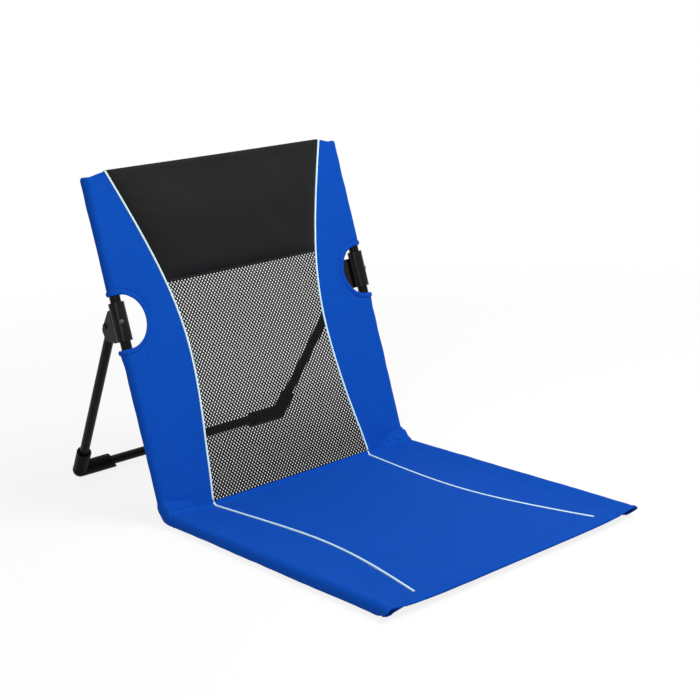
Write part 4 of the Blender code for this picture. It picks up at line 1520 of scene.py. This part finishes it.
@dataclass
class Net:
    """The open net in the lower middle of the back: yarns that cross in diamonds.

    Args:
        across: Width of a diamond.
        along: Height of a diamond.
        yarn: Width of a yarn.
        foot_shade: How much wider the yarns are made towards the net's foot, as painted shade for the chair's shadow
            on the floor seen through it.
        thickness: Thickness of a yarn.
        sag: How far the middle hangs back.
        start: Lowest point along the back, behind the seat's rear edge.
        lap: How far the net runs up behind the head panel.
        behind: How far its edges lie behind the cloth's face.
    """

    across: float = 0.00485
    along: float = 0.0058
    yarn: float = 0.00160
    foot_shade: float = 0.22
    thickness: float = 0.0006
    sag: float = 0.0022
    start: float = -0.0085
    lap: float = 0.005
    behind: float = 0.0006

    def depth(self, across: float, along: float) -> float:
        """Return the net's depth, which hangs back between its seams.

        Args:
            across: Place across the chair.
            along: Distance along the panel.

        Returns:
            The depth behind the hinge axis.
        """
        share = across / BACK_SEAM.across(along)
        up = clamp(along / HEAD_SEAM)
        slack = self.sag * (1.0 - share * share) * math.sin(math.pi * up)
        return FACE_DEPTH + self.behind + slack + back_lead(across, along)

    def knot(self, across: float, along: float) -> Optional[list[tuple[float, float]]]:
        """Return the four corners of a crossing, held inside the seams, or None outside them.

        Args:
            across: Middle of the crossing across the chair.
            along: Middle of the crossing along the back.

        Returns:
            Corners to the right, above, to the left and below.
        """
        # The yarns widen towards the foot as painted shade for the chair's shadow on the floor seen through the net.
        drawn = 1.0 + self.foot_shade * (1.0 - smooth(along, 0.0, 0.15))
        half = self.yarn * drawn / math.sqrt(2.0)
        limit = BACK_SEAM.across(along)
        if abs(across) - half > limit:
            return None
        spots = [(across + half, along), (across, along + half), (across - half, along), (across, along - half)]
        return [(min(limit, max(-limit, x)), max(self.start, z)) for x, z in spots]

    def build(self) -> bpy.types.Object:
        """Return the net as crossings joined by slanting yarns.

        Returns:
            The net.
        """
        spots: list[Vector] = []
        faces: list[list[int]] = []
        knots: dict[tuple[int, int], list[int]] = {}
        rows = int((HEAD_SEAM + self.lap - self.start) / (self.along / 2))
        columns = int(BACK_SEAM.fold / (self.across / 2)) + 2
        for row in range(rows + 1):
            for column in range(-columns, columns + 1):
                if (row + column) % 2:
                    continue
                corners = self.knot(column * self.across / 2, self.start + row * self.along / 2)
                if corners is None:
                    continue
                knots[row, column] = [len(spots) + i for i in range(4)]
                spots += [BACK.at(x, z, self.depth(x, z)) for x, z in corners]
        for (row, column), (right, above, left, below) in knots.items():
            faces.append([right, above, left, below])
            upper, lower = knots.get((row + 1, column + 1)), knots.get((row - 1, column + 1))
            if upper:
                faces.append([right, upper[3], upper[2], above])
            if lower:
                faces.append([below, lower[2], lower[1], right])
        obj = new_piece("net_panel", spots, [f for f in faces if self.has_area(spots, f)], rounded=False)
        obj.data.validate()
        thicken(obj, self.thickness)
        dress(obj, NET_YARN)
        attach(obj, BACK.body)
        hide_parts("mesh_panel")
        width, height = 2 * BACK_SEAM.across(HEAD_SEAM), HEAD_SEAM + self.lap - self.start
        return obj

    @staticmethod
    def has_area(spots: Sequence[Vector], face: Sequence[int]) -> bool:
        """Tell whether a face still has an area after its corners were held inside the seams."""
        first, last = spots[face[2]] - spots[face[0]], spots[face[3]] - spots[face[1]]
        return first.cross(last).length > 1e-9


@dataclass
class Piping:
    """The pale cords sewn into the seams.

    Args:
        diameter: Diameter of the cord.
        sink: How far the cord's axis lies behind the cloth's face.
        bend: Distance from the hinge at which the cord starts to turn into the fold.
        sides: Number of sides of the cord.
        pitch: Spacing of its rings.
        turn_steps: Number of steps round the turn at the fold.
        short: How far from the seat's front edge the cord ends.
        dome: Height of its domed ends, as a share of its radius.
    """

    diameter: float = 0.0025
    sink: float = 0.0002
    bend: float = 0.024
    sides: int = 10
    pitch: float = 0.004
    turn_steps: int = 24
    short: float = 0.0165
    dome: float = 0.6

    def axis(self, panel: Panel, side: Side) -> list[Vector]:
        """Return the cord's line, from the fold to the far end of its seam.

        Args:
            panel: The panel that the seam is on.
            side: The side of the chair.

        Returns:
            Points of the cord's axis.
        """
        seam = panel.seam
        depths = tuple(FACE_DEPTH + self.sink + slack(seam.fold, self.bend) for slack in (seat_sag, back_lead))
        turn = corner_path(depths, (self.bend, self.bend), FOLD_SETBACK, 0.0, self.turn_steps)
        half = self.turn_steps // 2
        turn, last = (turn[half:], seam.span) if panel is BACK else (turn[half - 1::-1], SEAT_LENGTH - self.short)
        points = [(seam.across(max(0.0, offset.dot(panel.along))), HINGE + offset) for offset in turn]
        for z in spread(self.bend, last, self.pitch)[1:]:
            x = seam.across(z)
            points.append((x, panel.at(0.0, z, FACE_DEPTH + self.sink + sag_of(panel, x, z))))
        return [point + Vector((side.value * x, 0.0, 0.0)) for x, point in points]

    def build(self, panel: Panel, side: Side) -> bpy.types.Object:
        """Return one cord along a seam.

        Args:
            panel: The panel that the seam is on.
            side: The side of the chair.

        Returns:
            The cord, with domed ends.
        """
        axis = self.axis(panel, side)
        radius, sides = self.diameter / 2, self.sides
        spots: list[Vector] = []
        faces: list[list[int]] = []
        for before, point, after in zip([axis[0], *axis], axis, [*axis[1:], axis[-1]]):
            way = (after - before).normalized()
            out = panel.behind.cross(way).normalized()
            spots += ring(point, out, way.cross(out), radius, sides)
        last = len(spots) - sides
        for here in range(0, last, sides):
            there = here + sides
            for j in range(sides):
                k = (j + 1) % sides
                faces.append([here + j, here + k, there + k, there + j])
        for base, point, beyond in ((0, axis[0], axis[0] - axis[1]), (last, axis[-1], axis[-1] - axis[-2])):
            spots.append(point + beyond.normalized() * (radius * self.dome))
            for j in range(sides):
                corners = [base + (j + 1) % sides, base + j, len(spots) - 1]
                faces.append(corners if base == 0 else corners[::-1])
        obj = new_piece(f"{panel.body}_cord_{side.word}", spots, faces)
        dress(obj, PALE_PIPING)
        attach(obj, panel.body)
        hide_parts(f"{panel.body}_piping_{side.word}")
        return obj


@dataclass
class Hardware:
    """The rigid pieces that show: tubes, mouldings and fasteners, with softened edges.

    Args:
        edge: Width of the softened edges.
        segments: Number of steps across them.
        sharp: Least angle of an edge that is softened, in degrees.
        weld: Distance within which a node's points are welded.
    """

    edge: float = 0.0004
    segments: int = 2
    sharp: float = 35.0
    weld: float = 0.00001

    def dress(self) -> None:
        """Give every rigid node its finish, smooth faces and softened edges."""
        finishes = {finish.slot: finish for finish in (BLACK_PAINT, BLACK_MOULDING, STEEL)}
        for part in frame["record"]["subparts"]:
            finish = finishes.get(part["material_slot"])
            # The elbows take the darker copy of the moulding, painted shade for their place by the floor.
            if part["node"].startswith("stand_elbow"):
                finish = SHADED_MOULDING
            if finish is None:
                continue
            obj = frame["nodes"][part["node"]]
            dress(obj, finish)
            self.soften(obj)

    def soften(self, obj: bpy.types.Object) -> None:
        """Weld a node's facets for shading, and soften its edges.

        Args:
            obj: The node.
        """
        normals = obj.data.attributes.get("custom_normal")
        if normals:
            obj.data.attributes.remove(normals)
        obj.data.shade_smooth()
        weld = obj.modifiers.new("weld", "WELD")
        weld.merge_threshold = self.weld
        bevel = obj.modifiers.new("edges", "BEVEL")
        bevel.width = self.edge
        bevel.segments = self.segments
        bevel.limit_method = "ANGLE"
        bevel.angle_limit = math.radians(self.sharp)
        bevel.use_clamp_overlap = True
        obj.modifiers.new("shading", "WEIGHTED_NORMAL")


@dataclass
class Studio:
    """Camera, floor and lights.

    Args:
        azimuth: The camera's direction round the chair, in degrees.
        elevation: Its height above the horizon, in degrees.
        roll: Its roll, in degrees.
        focal: Its focal length in pixels of the frame.
        frame_width: Width of the frame in pixels.
        distance: Its distance from the target.
        target: The point that it looks past.
        shift: How far it stands to the right of and above that line.
        ambient: Strength of the even light from all round.
        floor_half: Half the floor's width.
        floor_greys: The floor's colour as it lights the chair and as it is seen.
        floor_white: Share of plain white in the floor as it is seen.
        fade: Distances from the middle at which the floor starts to fade and is gone.
    """

    azimuth: float = -40.488
    elevation: float = 14.612
    roll: float = -2.824
    focal: float = 1497.85
    frame_width: float = 700.0
    distance: float = 1.85204
    target: tuple[float, float, float] = (0.0, 0.070, 0.1492)
    shift: tuple[float, float] = (0.07784, 0.02543)
    ambient: float = 0.42
    floor_half: float = 4.0
    floor_greys: tuple[float, float] = (0.60, 0.90)
    floor_white: float = 0.84
    fade: tuple[float, float] = (0.55, 1.6)

    def camera(self) -> None:
        """Place the camera and make it the scene's own."""
        turn, tilt, roll = (math.radians(v) for v in (self.azimuth, self.elevation, self.roll))
        back = Vector((math.sin(turn) * math.cos(tilt), -math.cos(turn) * math.cos(tilt), math.sin(tilt)))
        level = Vector((math.cos(turn), math.sin(turn), 0.0))
        upright = back.cross(level)
        right = level * math.cos(roll) + upright * math.sin(roll)
        up = upright * math.cos(roll) - level * math.sin(roll)
        place = Vector(self.target) + back * self.distance + right * self.shift[0] + up * self.shift[1]
        data = bpy.data.cameras.new("camera")
        data.sensor_width = 36.0
        data.lens = self.focal / self.frame_width * data.sensor_width
        data.clip_start = 0.05
        obj = bpy.data.objects.new("camera", data)
        axes = Matrix((right, up, back)).transposed().to_4x4()
        obj.matrix_world = Matrix.Translation(place) @ axes
        bpy.context.scene.collection.objects.link(obj)
        bpy.context.scene.camera = obj

    def seen(self, graph: Graph) -> Socket:
        """Return 1 for rays that see the background, straight on or by reflection.

        Args:
            graph: The graph to write in.

        Returns:
            The share, 0 for rays that only light the chair.
        """
        path = graph.node("ShaderNodeLightPath", None, None, "Is Camera Ray")
        outputs = path.output.node.outputs
        total = path + Socket(graph, outputs["Is Glossy Ray"]) + Socket(graph, outputs["Is Transmission Ray"])
        return total.at_most(1.0)

    def world(self) -> None:
        """Light the chair evenly from all round, in front of a white background."""
        world = bpy.data.worlds.new("studio")
        bpy.context.scene.world = world
        world.use_nodes = True
        graph = Graph(world.node_tree)
        white = graph.node("ShaderNodeBackground", None, {"Color": WHITE, "Strength": 1.0})
        soft = graph.node("ShaderNodeBackground", None, {"Color": WHITE, "Strength": self.ambient})
        mixed = graph.node("ShaderNodeMixShader", None, {0: self.seen(graph), 1: soft, 2: white})
        graph.node("ShaderNodeOutputWorld", None, {"Surface": mixed})

    def floor(self) -> None:
        """Lay a pale floor that fades into the background and keeps a soft shadow."""
        material = bpy.data.materials.new("pale_floor")
        material.use_nodes = True
        graph = Graph(material.node_tree)
        greys = [(grey, grey, grey, 1.0) for grey in self.floor_greys]
        dim, matt = (graph.node("ShaderNodeBsdfDiffuse", None, {"Color": grey}) for grey in greys)
        white = graph.node("ShaderNodeEmission", None, {"Color": WHITE, "Strength": 1.0})
        shown = graph.node("ShaderNodeMixShader", None, {0: self.floor_white, 1: matt, 2: white})
        lit = graph.node("ShaderNodeMixShader", None, {0: self.seen(graph), 1: dim, 2: shown})
        place = graph.node("ShaderNodeNewGeometry", None, None, "Position")
        away = graph.node("ShaderNodeVectorMath", {"operation": "LENGTH"}, {0: place}, "Value")
        fade = graph.node("ShaderNodeMapRange", {"interpolation_type": "SMOOTHSTEP"},
                          {"Value": away, "From Min": self.fade[0], "From Max": self.fade[1]})
        clear = graph.node("ShaderNodeBsdfTransparent")
        faded = graph.node("ShaderNodeMixShader", None, {0: fade * self.seen(graph), 1: lit, 2: clear})
        graph.node("ShaderNodeOutputMaterial", None, {"Surface": faded})
        half = self.floor_half
        corners = [(-half, -half, 0.0), (half, -half, 0.0), (half, half, 0.0), (-half, half, 0.0)]
        obj = new_piece("floor", corners, [(0, 1, 2, 3)], rounded=False)
        obj.data.materials.append(material)

    def lamp(self, name: str, place: Sequence[float], size: float, power: float) -> None:
        """Hang a square soft light that looks at the chair.

        Args:
            name: Name of the light.
            place: Where it hangs.
            size: Length of its sides.
            power: Its power in watts.
        """
        data = bpy.data.lights.new(name, "AREA")
        data.size = size
        data.energy = power
        obj = bpy.data.objects.new(name, data)
        obj.location = place
        obj.rotation_mode = "QUATERNION"
        obj.rotation_quaternion = (Vector(self.target) - Vector(place)).to_track_quat("-Z", "Y")
        bpy.context.scene.collection.objects.link(obj)

    def build(self) -> None:
        """Set up the whole studio."""
        bpy.context.scene.view_settings.view_transform = "Standard"
        self.camera()
        self.world()
        self.floor()
        self.lamp("key", (0.62, -0.76, 1.66), size=1.05, power=28.0)
        self.lamp("fill", (-1.6, -1.3, 0.9), size=0.6, power=10.0)


PAINTS = {
    finish.name: finish.material()
    for finish in (BLUE_CLOTH, BLACK_CLOTH, NET_YARN, PALE_PIPING, BLUE_THREAD, BLACK_THREAD,
                   BLACK_PAINT, BLACK_MOULDING, SHADED_MOULDING, STEEL)
}


def pieces() -> Iterable[bpy.types.Object]:
    """Build the cloth in order, one piece at a time.

    Returns:
        The pieces as they are made.
    """
    covers = [SideCover(side) for side in Side]
    for cover in covers:
        yield cover.build()
    sling = SeatSling()
    yield sling.build()
    yield sling.build_hem()
    head = HeadPanel()
    yield head.build()
    yield Net().build()
    for panel in (BACK, SEAT):
        runs = [run for cover in covers for run in cover.stitch_runs(panel)]
        runs += [sling.stitch_run()] if panel is SEAT else []
        yield Stitching(f"{panel.body}_stitches", panel, BLUE_THREAD).build(runs)
    yield Stitching("head_stitches", BACK, BLACK_THREAD).build([head.stitch_run()])
    for side in Side:
        for panel in (BACK, SEAT):
            yield Piping().build(panel, side)


def main() -> None:
    """Build the studio, dress the rigid pieces, make the cloth and log each piece's number of points."""
    logging.basicConfig(level=logging.INFO, format="%(name)s: %(message)s")
    Studio().build()
    Hardware().dress()
    for obj in pieces():
        LOG.info("%s: %d points", obj.name, len(obj.data.vertices))


if __name__ == "__main__":
    main()
